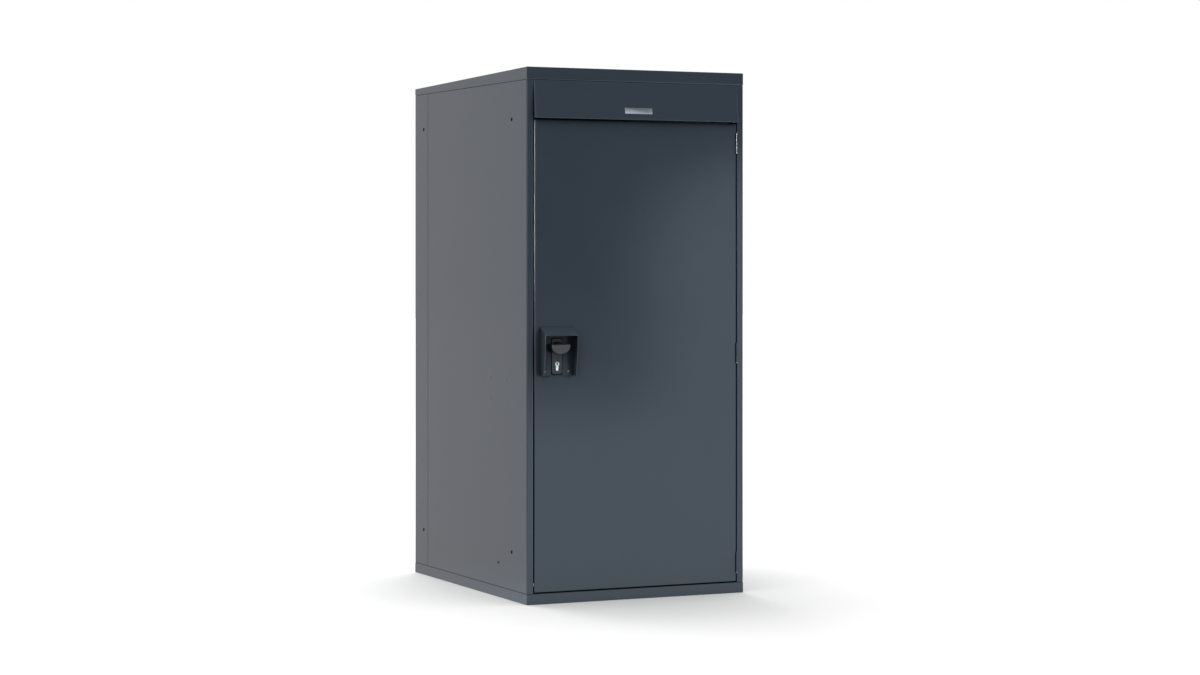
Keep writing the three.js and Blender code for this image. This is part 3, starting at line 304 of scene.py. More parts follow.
COLOR, FLOAT, VECTOR = "NodeSocketColor", "NodeSocketFloat", "NodeSocketVector"
SURFACE = (("Tone", COLOR), ("Roughness", FLOAT), ("Height", FLOAT))
MASK = (("Mask", FLOAT),)


def new_group(name, outputs, *inputs):
    tree = bpy.data.node_groups.new(name, "ShaderNodeTree")
    for label, kind, default in inputs:
        tree.interface.new_socket(label, in_out="INPUT", socket_type=kind).default_value = default
    for label, kind in outputs:
        tree.interface.new_socket(label, in_out="OUTPUT", socket_type=kind)
    return Wiring(tree), tree.nodes.new("NodeGroupInput").outputs, tree.nodes.new("NodeGroupOutput").inputs


def powder_group():
    """Powder coat: slight clouds of tone, orange peel, and dust on faces that look up."""
    w, given, out = new_group(
        "Powder Coat", SURFACE,
        ("Tone", COLOR, (0.5, 0.5, 0.5, 1)), ("Roughness", FLOAT, 0.3), ("Waves", FLOAT, 350.0), ("Dust", FLOAT, 0.3),
    )
    coords = w.coords()
    clouds = w.noise(coords, 2.3, 3.0)
    patches = w.noise(coords, 17.0, 3.0)
    lying = w.times(w.ramp(w.parts(w.facing())["Z"], 0.55, 0.95), w.ramp(w.noise(coords, 41.0, 5.0, 0.65), 0.35, 0.75))
    dust = w.times(lying, given["Dust"])
    clouded = w.blend(clouds, w.brighter(given["Tone"], 0.93), w.brighter(given["Tone"], 1.06))
    w.feed(out["Tone"], w.blend(dust, clouded, (0.34, 0.33, 0.31, 1)))
    varied = w.plus(given["Roughness"], w.ramp(patches, 0.3, 0.7, -0.012, 0.012))
    w.feed(out["Roughness"], w.plus(varied, w.times(dust, 0.35), clamp=True))
    w.feed(out["Height"], w.noise(coords, given["Waves"], 1.0))
    return w.tree


def wear_and_highlight_group():
    """A mask of the edges, broken up, where the coat is paler: partly a thin or rubbed coat, partly a painted highlight
    along the folds.
    """
    w, given, out = new_group("Edge Wear and Painted Highlight", MASK, ("Width", FLOAT, 0.001), ("Amount", FLOAT, 0.5))
    rounded = w.node("Bevel", {"Radius": given["Width"]}, samples=6).outputs[0]
    along = w.vector("DOT_PRODUCT", rounded, w.facing())["Value"]
    edge = w.ramp(w.minus(1.0, along), 0.02, 0.3)
    broken = w.ramp(w.noise(w.coords(), 55.0, 4.0, 0.6), 0.3, 0.75, 0.25, 1.0)
    w.feed(out["Mask"], w.times(w.times(edge, broken), given["Amount"], clamp=True))
    return w.tree


def painted_shade_group():
    """A mask of the hollows and gaps, for painted shade: the base colour is darkened there by ambient occlusion. It
    looks a little upwards, so that the painted shade is deeper under overhangs.
    """
    w, given, out = new_group("Painted Shade in Hollows", MASK, ("Reach", FLOAT, 0.05), ("Amount", FLOAT, 0.5))
    upwards = w.vector("NORMALIZE", w.vector("ADD", w.facing(), (0, 0, 0.6))[0])[0]
    inputs = {"Distance": given["Reach"], "Normal": upwards}
    open_share = w.node("AmbientOcclusion", inputs, samples=8).outputs["AO"]
    w.feed(out["Mask"], w.times(w.ramp(open_share, 0.3, 0.85, 1.0, 0.0), given["Amount"], clamp=True))
    return w.tree


def plating_group():
    """Plated metal: fine lines along one direction, soft blotches of tone and roughness."""
    w, given, out = new_group(
        "Plated Metal", SURFACE,
        ("Tone", COLOR, (0.7, 0.7, 0.7, 1)), ("Roughness", FLOAT, 0.3), ("Lines", VECTOR, (1, 1, 1)),
        ("Contrast", FLOAT, 0.5),
    )
    coords = w.coords()
    lines = w.noise(w.vector("MULTIPLY", coords, given["Lines"])[0], 1.0, 3.0, 0.6)
    blotches = w.noise(coords, 60.0, 4.0, 0.55)
    centred = w.minus(lines, 0.5)
    shade = w.plus(w.times(centred, given["Contrast"]), w.ramp(blotches, 0.3, 0.7, 0.95, 1.05))
    w.feed(out["Tone"], w.brighter(given["Tone"], shade))
    uneven = w.plus(w.times(centred, 0.25), w.ramp(blotches, 0.3, 0.7, -0.04, 0.05))
    w.feed(out["Roughness"], w.plus(given["Roughness"], uneven, clamp=True))
    w.feed(out["Height"], lines)
    return w.tree


def grain_group():
    """Grained or textured surface of mouldings, coats and rubber."""
    w, given, out = new_group(
        "Fine Grain", SURFACE,
        ("Tone", COLOR, (0.1, 0.1, 0.1, 1)), ("Roughness", FLOAT, 0.5), ("Grains", FLOAT, 1500.0),
    )
    coords = w.coords()
    inputs = {"Vector": coords, "Scale": given["Grains"]}
    cells = w.node("TexVoronoi", inputs, feature="SMOOTH_F1").outputs["Distance"]
    rubbed = w.noise(coords, 90.0, 4.0, 0.6)
    w.feed(out["Tone"], w.brighter(given["Tone"], w.ramp(rubbed, 0.3, 0.72, 0.86, 1.14)))
    w.feed(out["Roughness"], w.plus(given["Roughness"], w.ramp(rubbed, 0.35, 0.7, 0.06, -0.07), clamp=True))
    w.feed(out["Height"], cells)
    return w.tree


# Finishes

def new_finish(name, group, inputs, relief, shade, wear_and_highlight=None, **shader):
    """A material of one surface group, with relief as the bump's depth, painted shade in hollows and an optional paler
    edge that is partly wear and partly painted highlight.
    """
    material = bpy.data.materials.new(name)
    material.use_nodes = True
    w = Wiring(material.node_tree)
    principled = material.node_tree.nodes["Principled BSDF"]
    surface = w.group(group, inputs)
    base = surface["Tone"]
    # Paler edge: partly wear, partly painted highlight.
    if wear_and_highlight:
        tree, width, amount, highlit_tone = wear_and_highlight
        base = w.blend(w.group(tree, {"Width": width, "Amount": amount})["Mask"], base, (*highlit_tone, 1))
    tree, reach, amount = shade
    # Painted shade: hollows and gaps are darkened towards near black.
    base = w.blend(w.group(tree, {"Reach": reach, "Amount": amount})["Mask"], base, (0.004, 0.005, 0.006, 1))
    w.feed(principled.inputs["Base Color"], base)
    w.feed(principled.inputs["Roughness"], surface["Roughness"])
    bump = w.node("Bump", {"Strength": 1.0, "Distance": relief, "Height": surface["Height"]})
    w.feed(principled.inputs["Normal"], bump.outputs["Normal"])
    for label, value in shader.items():
        principled.inputs[label.replace("_", " ")].default_value = value
    return material


def make_finishes(settings):
    """All finishes of the locker, by name."""
    paint, metal = settings.paint, settings.metal
    powder, wear_and_highlight, plating, grain = powder_group(), wear_and_highlight_group(), plating_group(), grain_group()
    shade = (painted_shade_group(), paint.shade_reach, paint.shade)
    coat = linear(paint.tone)
    # Edges pale towards a lighter copy of the coat: partly wear, partly painted highlight.
    worn_and_highlit = (wear_and_highlight, paint.wear_and_highlight_width, paint.wear_and_highlight, tuple(1.9 * c for c in coat))
    powder_inputs = {"Tone": (*coat, 1), "Roughness": paint.roughness, "Waves": 1 / paint.peel_size, "Dust": paint.dust}

    def plated(name, shown, roughness, lines, contrast, relief=0.000004):
        inputs = {"Tone": (*linear(shown), 1), "Roughness": roughness, "Lines": lines, "Contrast": contrast}
        return new_finish(name, plating, inputs, relief, shade, Metallic=1.0)

    def grained(name, shown, roughness, grains, relief, **shader):
        inputs = {"Tone": (*linear(shown), 1), "Roughness": roughness, "Grains": grains}
        return new_finish(name, grain, inputs, relief, shade, **shader)

    return {
        "cabinet_paint": new_finish("Cabinet Paint", powder, powder_inputs, paint.peel_depth, shade, worn_and_highlit, IOR=1.5),
        "bright_zinc": plated("Bright Zinc", metal.zinc, metal.zinc_roughness, (900.0, 900.0, 60.0), 0.16),
        "drawn_zinc": plated("Drawn Zinc", metal.zinc, metal.zinc_roughness, (2600.0, 2600.0, 12.0), 0.22),
        "dull_zinc": plated("Dull Zinc", metal.dull_zinc, 0.45, (900.0, 900.0, 60.0), 0.16),
        "satin_nickel": plated("Satin Nickel", metal.nickel, metal.nickel_roughness, (1800.0, 300.0, 1800.0), 0.1),
        "plate_metal": plated("Plate Metal", metal.plate, 0.36, (22.0, 3200.0, 3200.0), 0.3, 0.000008),
        # Painted shade on the rod keeps and the keyway rim.
        "black_steel_shade": plated("Black Steel Shade", metal.black_steel_shade, 0.5, (300.0, 900.0, 900.0), 0.2),
        "black_coat": grained("Black Coat", metal.black_coat, 0.42, 1300.0, 0.00003),
        "black_plastic": grained("Black Plastic", metal.black_plastic, 0.46, 1900.0, 0.00002),
        # No sheen on the rubber, so that the link sleeves and the gasket read as black as the shade they stand in for.
        "black_rubber": grained("Black Rubber", metal.rubber, 0.72, 800.0, 0.00004, Specular_IOR_Level=0.0),
        "pale_nylon": grained("Pale Nylon", metal.nylon, 0.5, 1200.0, 0.00001),
    }


finishes = {}


def finish(name):
    """A finish by its name, made before the first piece."""
    if name not in finishes:
        raise RuntimeError(f"make the finishes first: there is no {name}")
    return finishes[name]


# Shapes

def make_object(name, shape, material):
    """Turns a bmesh into an object of the scene."""
    mesh = bpy.data.meshes.new(name)
    shape.to_mesh(mesh)
    shape.free()
    mesh.materials.append(material)
    made = bpy.data.objects.new(name, mesh)
    bpy.context.scene.collection.objects.link(made)
    return made


def make_piece(name, shape, body, slot, material=None, stands_for=()):
    """Turns a bmesh into a smoothly shaded piece that rides on a body."""
    soften(shape)
    piece = make_object(name, shape, finish(material or slot))
    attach(piece, body)
    if stands_for:
        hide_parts(*stands_for)
    return piece


def dress(name, node, body, slot, material=None, change=None, edge=0.0):
    """Makes a piece of a CAD node's merged copy, changed first and with its sharp edges rounded where asked."""
    shape = merged_copy(node)
    if change:
        change(shape)
    piece = make_piece(name, shape, body, slot, material, stands_for=[node])
    if edge:
        bevel = piece.modifiers.new("Edges", "BEVEL")
        bevel.width = edge
        bevel.segments = 2
        bevel.limit_method = "ANGLE"
        bevel.angle_limit = SOFT_TURN
        bevel.harden_normals = True
    flats = piece.modifiers.new("Flats", "WEIGHTED_NORMAL")
    flats.keep_sharp = True
    flats.weight = 100


def soften(shape):
    """Shades a shape smooth, but leaves its edges sharp where it turns by more than the soft turn."""
    for face in shape.faces:
        face.smooth = True
    for edge in shape.edges:
        edge.smooth = len(edge.link_faces) == 2 and edge.calc_face_angle() < SOFT_TURN


def merged_copy(node):
    """A copy of a CAD node's mesh with its corners merged and its flat faces whole."""
    shape = bmesh.new()
    shape.from_mesh(frame["nodes"][node].data)
    bmesh.ops.remove_doubles(shape, verts=shape.verts, dist=MERGE)
    bmesh.ops.dissolve_limit(shape, angle_limit=FLAT, verts=shape.verts, edges=shape.edges)
    return shape


def cut_ends(shape, inset=0.006):
    """Cuts the long folds near their ends, so that between the cuts they are shaded straight."""
    for axis in range(3):
        along = [v.co[axis] for v in shape.verts]
        normal = [float(axis == i) for i in range(3)]
        for at in (min(along) + inset, max(along) - inset):
            geometry = shape.verts[:] + shape.edges[:] + shape.faces[:]
            bmesh.ops.bisect_plane(shape, geom=geometry, dist=MERGE, plane_co=[at * n for n in normal], plane_no=normal)


def cut_off(shape, verts):
    """Takes corners away and closes the holes that they leave."""
    bmesh.ops.delete(shape, geom=verts, context="VERTS")
    bmesh.ops.holes_fill(shape, edges=[e for e in shape.edges if e.is_boundary], sides=0)


def bevel_edges(shape, edges, offset, segments):
    bmesh.ops.bevel(
        shape, geom=edges, offset=offset, offset_type="OFFSET", affect="EDGES",
        segments=segments, profile=0.5, material=-1, clamp_overlap=True,
    )


def block(extent, at=(0, 0, 0)):
    """A block of the given extent about a point."""
    shape = bmesh.new()
    bmesh.ops.create_cube(shape, size=1.0, matrix=Matrix.Translation(at) @ Matrix.Diagonal((*extent, 1)))
    return shape


def edges_along(shape, axis, least):
    """The edges that reach further than the least length along an axis."""
    return [e for e in shape.edges if abs(e.verts[0].co[axis] - e.verts[1].co[axis]) > least]


def corners_in(geometry):
    return [g for g in geometry if isinstance(g, bmesh.types.BMVert)]


def placing(at, axis):
    """The matrix that stands a shape made along +Z on a point, along an axis."""
    return Matrix.Translation(Vector(at)) @ Vector(axis).to_track_quat("Z", "Y").to_matrix().to_4x4()


def spun(profile, at, axis, steps=ROUND):
    """A closed shape of revolution. The profile is (radius, distance) along the axis from the point."""
    shape = bmesh.new()
    verts = [shape.verts.new((radius, 0, distance)) for radius, distance in profile]
    edges = [shape.edges.new(pair) for pair in zip(verts, verts[1:])]
    bmesh.ops.spin(
        shape, geom=verts + edges, cent=(0, 0, 0), axis=(0, 0, 1), dvec=(0, 0, 0),
        angle=2 * math.pi, steps=steps, use_merge=True,
    )
    bmesh.ops.remove_doubles(shape, verts=shape.verts, dist=MERGE / 10)
    bmesh.ops.recalc_face_normals(shape, faces=shape.faces)
    bmesh.ops.transform(shape, matrix=placing(at, axis), verts=shape.verts)
    return shape


def gather(shapes):
    """Joins several shapes into one."""
    whole = bmesh.new()
    for shape in shapes:
        mesh = bpy.data.meshes.new("part")
        shape.to_mesh(mesh)
        shape.free()
        whole.from_mesh(mesh)
        bpy.data.meshes.remove(mesh)
    return whole


def head(radius, rise, shares, at, axis, steps=ROUND):
    """A turned head whose profile above its foot is given in shares of its radius and rise."""
    profile = [(0, -TOUCH), (radius, -TOUCH), *((across * radius, up * rise) for across, up in shares)]
    return spun(profile, at, axis, steps)


def rivet(at, axis, lock):
    """A blind rivet's head: a low dome on a flat rim, with the hole that its mandrel leaves."""
    bore = lock.rivet_bore / lock.rivet_radius
    shares = [
        (1, 0.18), (0.94, 0.42), (0.76, 0.74), (0.5, 0.95),
        (1.15 * bore, 1), (bore, 0.93), (bore, 0.45), (0, 0.4),
    ]
    return head(lock.rivet_radius, lock.rivet_rise, shares, at, axis)


def spot_weld(at, axis, fasteners):
    """The shallow ring that a spot weld leaves under the paint."""
    shares = [(0.94, 0.5), (0.82, 1), (0.66, 0.6), (0, 0.3)]
    return head(fasteners.weld_radius, fasteners.weld_rise, shares, at, axis, ROUND // 2)


def bolt(at, axis, fasteners):
    """A hexagon bolt's head on its washer."""
    hexagon = bmesh.new()
    across, low, rise = fasteners.bolt_radius, fasteners.washer_thickness, fasteners.bolt_rise
    middle = low + rise / 2
    bmesh.ops.create_cone(
        hexagon, cap_ends=True, segments=6, radius1=across, radius2=across,
        depth=rise, matrix=Matrix.Translation((0, 0, middle)),
    )
    top = [e for e in hexagon.edges if all(v.co.z > middle for v in e.verts)]
    bevel_edges(hexagon, top, 0.16 * across, 2)
    bmesh.ops.transform(hexagon, matrix=placing(at, axis), verts=hexagon.verts)
    radius, edge = fasteners.washer_radius, 0.2 * low
    flat = radius - edge
    washer = [(0, -TOUCH), (flat, -TOUCH), (radius, edge), (radius, low - edge), (flat, low), (0, low)]
    return gather([hexagon, spun(washer, at, axis)])


def cover_screw(at, axis, fasteners):
    """A pan-head screw with a six-sided recess."""
    radius, rise = fasteners.screw_radius, fasteners.screw_rise
    crown = [(0.55 * radius, rise), (0.85 * radius, 0.85 * rise), (radius, 0.45 * rise)]
    pan = spun([*crown, (radius, -TOUCH), (0, -TOUCH)], (0, 0, 0), (0, 0, 1))
    level = Matrix.Translation((0, 0, rise))
    recess = bmesh.ops.create_circle(pan, segments=6, radius=0.42 * radius, matrix=level)["verts"]
    inner = list({e for v in recess for e in v.link_edges})
    outer = [e for e in pan.edges if e.is_boundary and e not in inner]
    bmesh.ops.bridge_loops(pan, edges=inner + outer)
    walls = bmesh.ops.extrude_edge_only(pan, edges=inner)["geom"]
    bmesh.ops.translate(pan, vec=(0, 0, -0.7 * rise), verts=corners_in(walls))
    bmesh.ops.edgeloop_fill(pan, edges=[g for g in walls if isinstance(g, bmesh.types.BMEdge) and g.is_boundary])
    bmesh.ops.recalc_face_normals(pan, faces=pan.faces)
    bmesh.ops.transform(pan, matrix=placing(at, axis), verts=pan.verts)
    return pan


def steps_between(low, high, pitch):
    """Even places from low to high, about a pitch apart."""
    number = max(int(round((high - low) / pitch)), 1)
    return [low + (high - low) * i / number for i in range(number + 1)]


def middle_of(node):
    low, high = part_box(node)
    return (low + high) / 2


def largest_face(node, axis, way):
    """The largest of a node's faces that look along an axis, or against it where the way is -1."""
    faces = [p for p in frame["nodes"][node].data.polygons if way * p.normal[axis] > 0.9]
    if not faces:
        raise RuntimeError(f"{node} has no face that looks that way")
    return max(faces, key=lambda p: p.area)


# Operators

class LOCKER_OT_finishes(bpy.types.Operator):
    """Make every finish and give it to the CAD nodes"""

    bl_idname = "locker.finishes"
    bl_label = "Finishes"

    def execute(self, context):
        finishes.update(make_finishes(context.scene.locker))
        special = {f"base_rail_{place}": "drawn_zinc" for place in ("front", "middle", "rear")}
        # Painted shade: the rod keeps get black steel in place of their zinc, so that the gaps round the door read
        # dark.
        special.update(wheel_channel="drawn_zinc", upper_rod_keep="black_steel_shade", lower_rod_keep="black_steel_shade")
        for part in frame["record"]["subparts"]:
            name = special.get(part["node"], part["material_slot"])
            node = frame["nodes"][part["node"]]
            if not node.material_slots:
                raise RuntimeError(f"{part['node']} has no material slot")
            for slot in node.material_slots:
                slot.material = finish(name)
        return {"FINISHED"}


class LOCKER_OT_plate(bpy.types.Operator):
    """Add the blank plate on the fascia"""

    bl_idname = "locker.plate"
    bl_label = "Blank Plate"

    def execute(self, context):
        plate = context.scene.locker.plate
        shape = block((plate.width, plate.height, plate.thickness))
        bevel_edges(shape, edges_along(shape, 2, plate.thickness / 2), plate.corner, 4)
        rim = [e for e in shape.edges if all(v.co.z > 0 for v in e.verts)]
        bevel_edges(shape, rim, plate.edge, 2)
        face = largest_face("front_fascia", 1, -1)
        on_face, normal = face.center, face.normal
        back = on_face.y - normal.z * (plate.level - on_face.z) / normal.y
        at = Vector((0, back, plate.level)) + normal * (plate.thickness / 2)
        bmesh.ops.transform(shape, matrix=placing(at, normal), verts=shape.verts)
        make_piece("blank_plate", shape, "cabinet", "bright_zinc", "plate_metal")
        return {"FINISHED"}


class LOCKER_OT_lock_furniture(bpy.types.Operator):
    """Round the hood, the turn handle, the escutcheon and the cylinder"""

    bl_idname = "locker.lock_furniture"
    bl_label = "Lock Furniture"

    def execute(self, context):
        lock = context.scene.locker.lock
        dress("hood_shell", "lock_hood", "door", "cabinet_paint")
        dress(
            "turn_grip", "turn_handle", "handle", "black_coat",
            change=lambda grip: self.shape_grip(grip, lock), edge=lock.grip_edge,
        )
        dress("escutcheon_plate", "escutcheon", "door", "black_plastic", edge=lock.edge)
        dress("cylinder_body", "lock_cylinder", "door", "satin_nickel", edge=lock.fine_edge)
        dress("key_plug_face", "cylinder_plug", "key_plug", "satin_nickel", edge=lock.fine_edge)
        self.gasket(lock)
        self.keyway(lock)
        return {"FINISHED"}

    @staticmethod
    def shape_grip(shape, lock):
        """Widens the grip about its axis, and slopes the end of its neck, which stands above the grip."""
        neck_length = 0.02
        _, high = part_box("turn_handle")
        middle = middle_of("turn_handle").x
        front = [v for v in shape.verts if v.co.y < high.y - neck_length]
        bmesh.ops.translate(shape, vec=(-middle, 0, 0), verts=front)
        bmesh.ops.scale(shape, vec=(lock.grip_spread, 1, 1), verts=front)
        bmesh.ops.translate(shape, vec=(middle, 0, 0), verts=front)
        for vert in front:
            vert.co.y += lock.neck_slope * max(vert.co.z - (high.z - lock.neck_radius), 0.0)

    @staticmethod
    def gasket(lock):
        """The black rubber gasket between the escutcheon and the door, just wider than the escutcheon. The rim that
        shows stands in for the shadow line round the escutcheon: painted shadow.
        """
        low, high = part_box("escutcheon")
        margin, thick = lock.shadow_gasket_margin, lock.shadow_gasket_thickness
        middle = middle_of("escutcheon")
        extent = (high.x - low.x + 2 * margin, thick, high.z - low.z + 2 * margin)
        shape = block(extent, (middle.x, high.y - thick / 2, middle.z))
        bevel_edges(shape, edges_along(shape, 1, thick / 2), lock.shadow_gasket_corner, 6)
        make_piece("escutcheon_shadow_gasket", shape, "door", "black_rubber")

    @staticmethod
    def keyway(lock):
        """Painted shade: a thin black rim round the keyway, between a slot and a larger oval that sits higher, so that
        the keyway reads darker and larger.
        """
        rim, thick = lock.keyway_shade_rim, 0.0001
        slot, oval = (0.001, 0.0042, 0.0), (0.001 + rim, 0.004 + rim, 0.0012)
        shape = bmesh.new()
        loops = set()
        for wide, tall, up in (slot, oval):
            turn = Matrix.Translation((0, 0, up)) @ Matrix.Rotation(math.pi / 2, 4, "X")
            turn = turn @ Matrix.Diagonal((wide, tall, 1, 1))
            ring = bmesh.ops.create_circle(shape, segments=ROUND, radius=1.0, matrix=turn)["verts"]
            loops |= {e for v in ring for e in v.link_edges}
        faces = bmesh.ops.bridge_loops(shape, edges=list(loops))["faces"]
        raised = bmesh.ops.extrude_face_region(shape, geom=faces)["geom"]
        bmesh.ops.translate(shape, vec=(0, -thick, 0), verts=corners_in(raised))
        bmesh.ops.recalc_face_normals(shape, faces=shape.faces)
        at = middle_of("cylinder_plug")
        at.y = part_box("cylinder_plug")[0].y
        bmesh.ops.translate(shape, vec=at, verts=shape.verts)
        make_piece("keyway_shade_rim", shape, "key_plug", "satin_nickel", "black_steel_shade")


class LOCKER_OT_sheet_panels(bpy.types.Operator):
    """Round the folds of the painted sheets"""

    bl_idname = "locker.sheet_panels"
    bl_label = "Sheet Panels"

    def execute(self, context):
        sheets = {
            "left_side_sheet": "left_side_panel", "right_side_sheet": "right_side_panel", "back_sheet": "back_panel",
            "base_sheet": "base_pan", "lid_sheet": "roof_lid", "fascia_sheet": "front_fascia",
            "header_sheet": "header_rail",
        }
        for name, node in sheets.items():
            dress(name, node, "cabinet", "cabinet_paint", change=cut_ends)
        dress("door_sheet", "door_skin", "door", "cabinet_paint", change=cut_ends)
        return {"FINISHED"}


class LOCKER_OT_hood_rivets(bpy.types.Operator):
    """Add the two blind rivets that hold the hood"""

    bl_idname = "locker.hood_rivets"
    bl_label = "Hood Rivets"

    def execute(self, context):
        lock = context.scene.locker.lock
        for side in ("left", "right"):
            node = f"hood_rivet_{side}"
            middle = middle_of(node)
            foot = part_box(node)[0].y + lock.rivet_rise
            shank = merged_copy(node)
            cut_off(shank, [v for v in shank.verts if v.co.y < foot])
            shape = gather([shank, rivet((middle.x, foot, middle.z), (0, -1, 0), lock)])
            make_piece(f"blind_rivet_{side}", shape, "door", "bright_zinc", "dull_zinc", stands_for=[node])
        return {"FINISHED"}


class LOCKER_OT_anchor_rivets(bpy.types.Operator):
    """Paint the four heads of the locking anchor, outside on the left"""

    bl_idname = "locker.anchor_rivets"
    bl_label = "Anchor Rivets"

    def execute(self, context):
        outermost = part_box("anchor_plate")[0].x
        side = largest_face("left_side_panel", 0, -1).center.x
        plate = merged_copy("anchor_plate")
        tops = [v.co.copy() for v in plate.verts if v.co.x < outermost + MERGE]
        cut_off(plate, [v for v in plate.verts if v.co.x < side + MERGE])
        make_piece("anchor_sheet", plate, "cabinet", "bright_zinc", stands_for=["anchor_plate"])

        dome = [(1, 0.08), (0.85, 0.4), (0.6, 0.74), (0.3, 0.93), (0, 1)]
        radius, rise = context.scene.locker.lock.anchor_head, 0.6 * (side - outermost)
        heads = gather([head(radius, rise, dome, (side, top.y, top.z), (-1, 0, 0)) for top in tops])
        make_piece("anchor_heads", heads, "cabinet", "cabinet_paint")
        return {"FINISHED"}


class LOCKER_OT_link_sleeves(bpy.types.Operator):
    """Add the black rubber sleeves in the holes that link two lockers side by side. Their black also stands in for the
    shade inside the holes: painted shade.
    """

    bl_idname = "locker.link_sleeves"
    bl_label = "Link Sleeves"

    def execute(self, context):
        fasteners = context.scene.locker.fasteners
        inset = fasteners.link_inset
        bore, neck, flange, lip = 0.0028, 0.0051, 0.007, 0.0068
        proud, outside, inside, end = 0.0005, -0.0002, -0.0016, -0.0026
        inner = [(neck, inside), (flange, inside), (flange, end), (bore, end)]
        lipped = [(bore, proud), (0.0063, proud), (lip, 0.0001), (lip, outside), (neck, outside), *inner, (bore, proud)]
        flush = [(bore, 0.0), (neck, 0.0), *inner, (bore, 0.0)]
        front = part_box("left_side_panel")[0].y
        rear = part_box("back_panel")[1].y
        sleeves = []
        for node, outward, profile in (("left_side_panel", -1, lipped), ("right_side_panel", 1, flush)):
            low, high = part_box(node)
            side = largest_face(node, 0, outward).center.x
            for y in (front + inset, rear - fasteners.link_rear):
                for z in (low.z + inset, high.z - inset):
                    sleeves.append(spun(profile, (side, y, z), (outward, 0, 0)))
        make_piece("link_sleeves", gather(sleeves), "cabinet", "black_rubber")
        return {"FINISHED"}


class LOCKER_OT_hinges(bpy.types.Operator):
    """Round the knuckles, leaves and pins of the three hinges"""

    bl_idname = "locker.hinges"
    bl_label = "Hinges"

    def execute(self, context):
        for place in PLACES:
            dress(f"cabinet_leaf_{place}", f"hinge_frame_leaf_{place}", "cabinet", "cabinet_paint")
            dress(f"door_leaf_{place}", f"hinge_door_leaf_{place}", "door", "cabinet_paint")
            dress(f"pin_{place}", f"hinge_pin_{place}", "cabinet", "bright_zinc")
        return {"FINISHED"}


class LOCKER_OT_bent_bars(bpy.types.Operator):
    """Round the hook, its sleeve, the locking loop and the two rods"""

    bl_idname = "locker.bent_bars"
    bl_label = "Bent Bars and Rods"

    def execute(self, context):
        dress("bent_hook", "wheel_hook", "cabinet", "bright_zinc")
        dress("rubber_sleeve", "hook_sleeve", "cabinet", "black_rubber")
        dress("locking_loop", "anchor_loop", "cabinet", "bright_zinc")
        dress("rod_up", "upper_rod", "upper_rod", "bright_zinc", "drawn_zinc")
        dress("rod_down", "lower_rod", "lower_rod", "bright_zinc", "drawn_zinc")
        return {"FINISHED"}


class LOCKER_OT_inside_fasteners(bpy.types.Operator):
    """Add the bolts, rivets and screws of the inside fittings"""

    bl_idname = "locker.inside_fasteners"
    bl_label = "Inside Fasteners"

    def execute(self, context):
        fasteners, lock = context.scene.locker.fasteners, context.scene.locker.lock
        forward, up = (0, -1, 0), (0, 0, 1)

        low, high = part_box("wheel_hook")
        plate_thickness, bend = 0.004, 0.005
        margin = 2 * fasteners.bolt_radius
        bolts = [
            bolt((x, high.y - plate_thickness, z), forward, fasteners)
            for x in (low.x + margin, high.x - margin)
            for z in (low.z + margin, high.z - margin - bend)
        ]
        self.add("hook_bolts", bolts, "cabinet")

        low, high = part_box("wheel_channel")
        channel_sheet = 0.002
        pitch = (high.z - low.z) / (fasteners.channel_rivets - 1)
        rows = steps_between(low.z + margin * 3, high.z - margin * 3, pitch)
        self.add("channel_rivets", [rivet((0, high.y - channel_sheet, z), forward, lock) for z in rows], "cabinet")

        rivets = []
        inset = 1.4 * lock.rivet_radius
        for node in ("upper_rod_keep", "lower_rod_keep"):
            low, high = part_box(node)
            y = (low.y + high.y) / 2
            rivets += [rivet((x, y, high.z), up, lock) for x in (low.x + inset, high.x - inset)]
        self.add("keep_rivets", rivets, "cabinet")

        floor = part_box("base_pan")[1].z
        rivets = []
        from_end, from_middle = 0.12, 0.0225
        for place in ("front", "middle", "rear"):
            low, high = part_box(f"base_rail_{place}")
            y = (low.y + high.y) / 2
            for x in steps_between(low.x + from_end, high.x - from_end, fasteners.floor_pitch):
                rivets += [rivet((x, y + side * from_middle, floor), up, lock) for side in (-1, 1)]
        self.add("floor_rivets", rivets, "cabinet")

        low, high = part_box("lock_case_cover")
        inset = 2.2 * fasteners.screw_radius
        screws = [
            cover_screw((x, high.y, z), (0, 1, 0), fasteners)
            for x in (low.x + inset, high.x - inset)
            for z in (low.z + inset, high.z - inset)
        ]
        self.add("cover_screws", screws, "door")
        return {"FINISHED"}

    @staticmethod
    def add(name, shapes, body):
        make_piece(name, gather(shapes), body, "bright_zinc")


class LOCKER_OT_spot_welds(bpy.types.Operator):
    """Add the spot welds of the stiffeners and the seams"""

    bl_idname = "locker.spot_welds"
    bl_label = "Spot Welds"

    def execute(self, context):
        fasteners = context.scene.locker.fasteners
        sheet, flange_middle, stiffener_end, panel_end, from_centre = 0.0015, 0.008, 0.03, 0.06, 0.43
        welds = []
        for place in PLACES:
            low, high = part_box(f"door_stiffener_{place}")
            for x in steps_between(low.x + stiffener_end, high.x - stiffener_end, fasteners.weld_pitch):
                for z in (low.z + flange_middle, high.z - flange_middle):
                    welds.append(spot_weld((x, low.y + sheet, z), (0, 1, 0), fasteners))
        make_piece("door_welds", gather(welds), "door", "cabinet_paint")

        welds = []
        for node, side in (("left_side_panel", -1), ("right_side_panel", 1)):
            low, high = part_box(node)
            for z in steps_between(low.z + panel_end, high.z - panel_end, fasteners.weld_pitch):
                welds.append(spot_weld((side * from_centre, high.y - sheet, z), (0, -1, 0), fasteners))
        make_piece("seam_welds", gather(welds), "cabinet", "cabinet_paint")
        return {"FINISHED"}


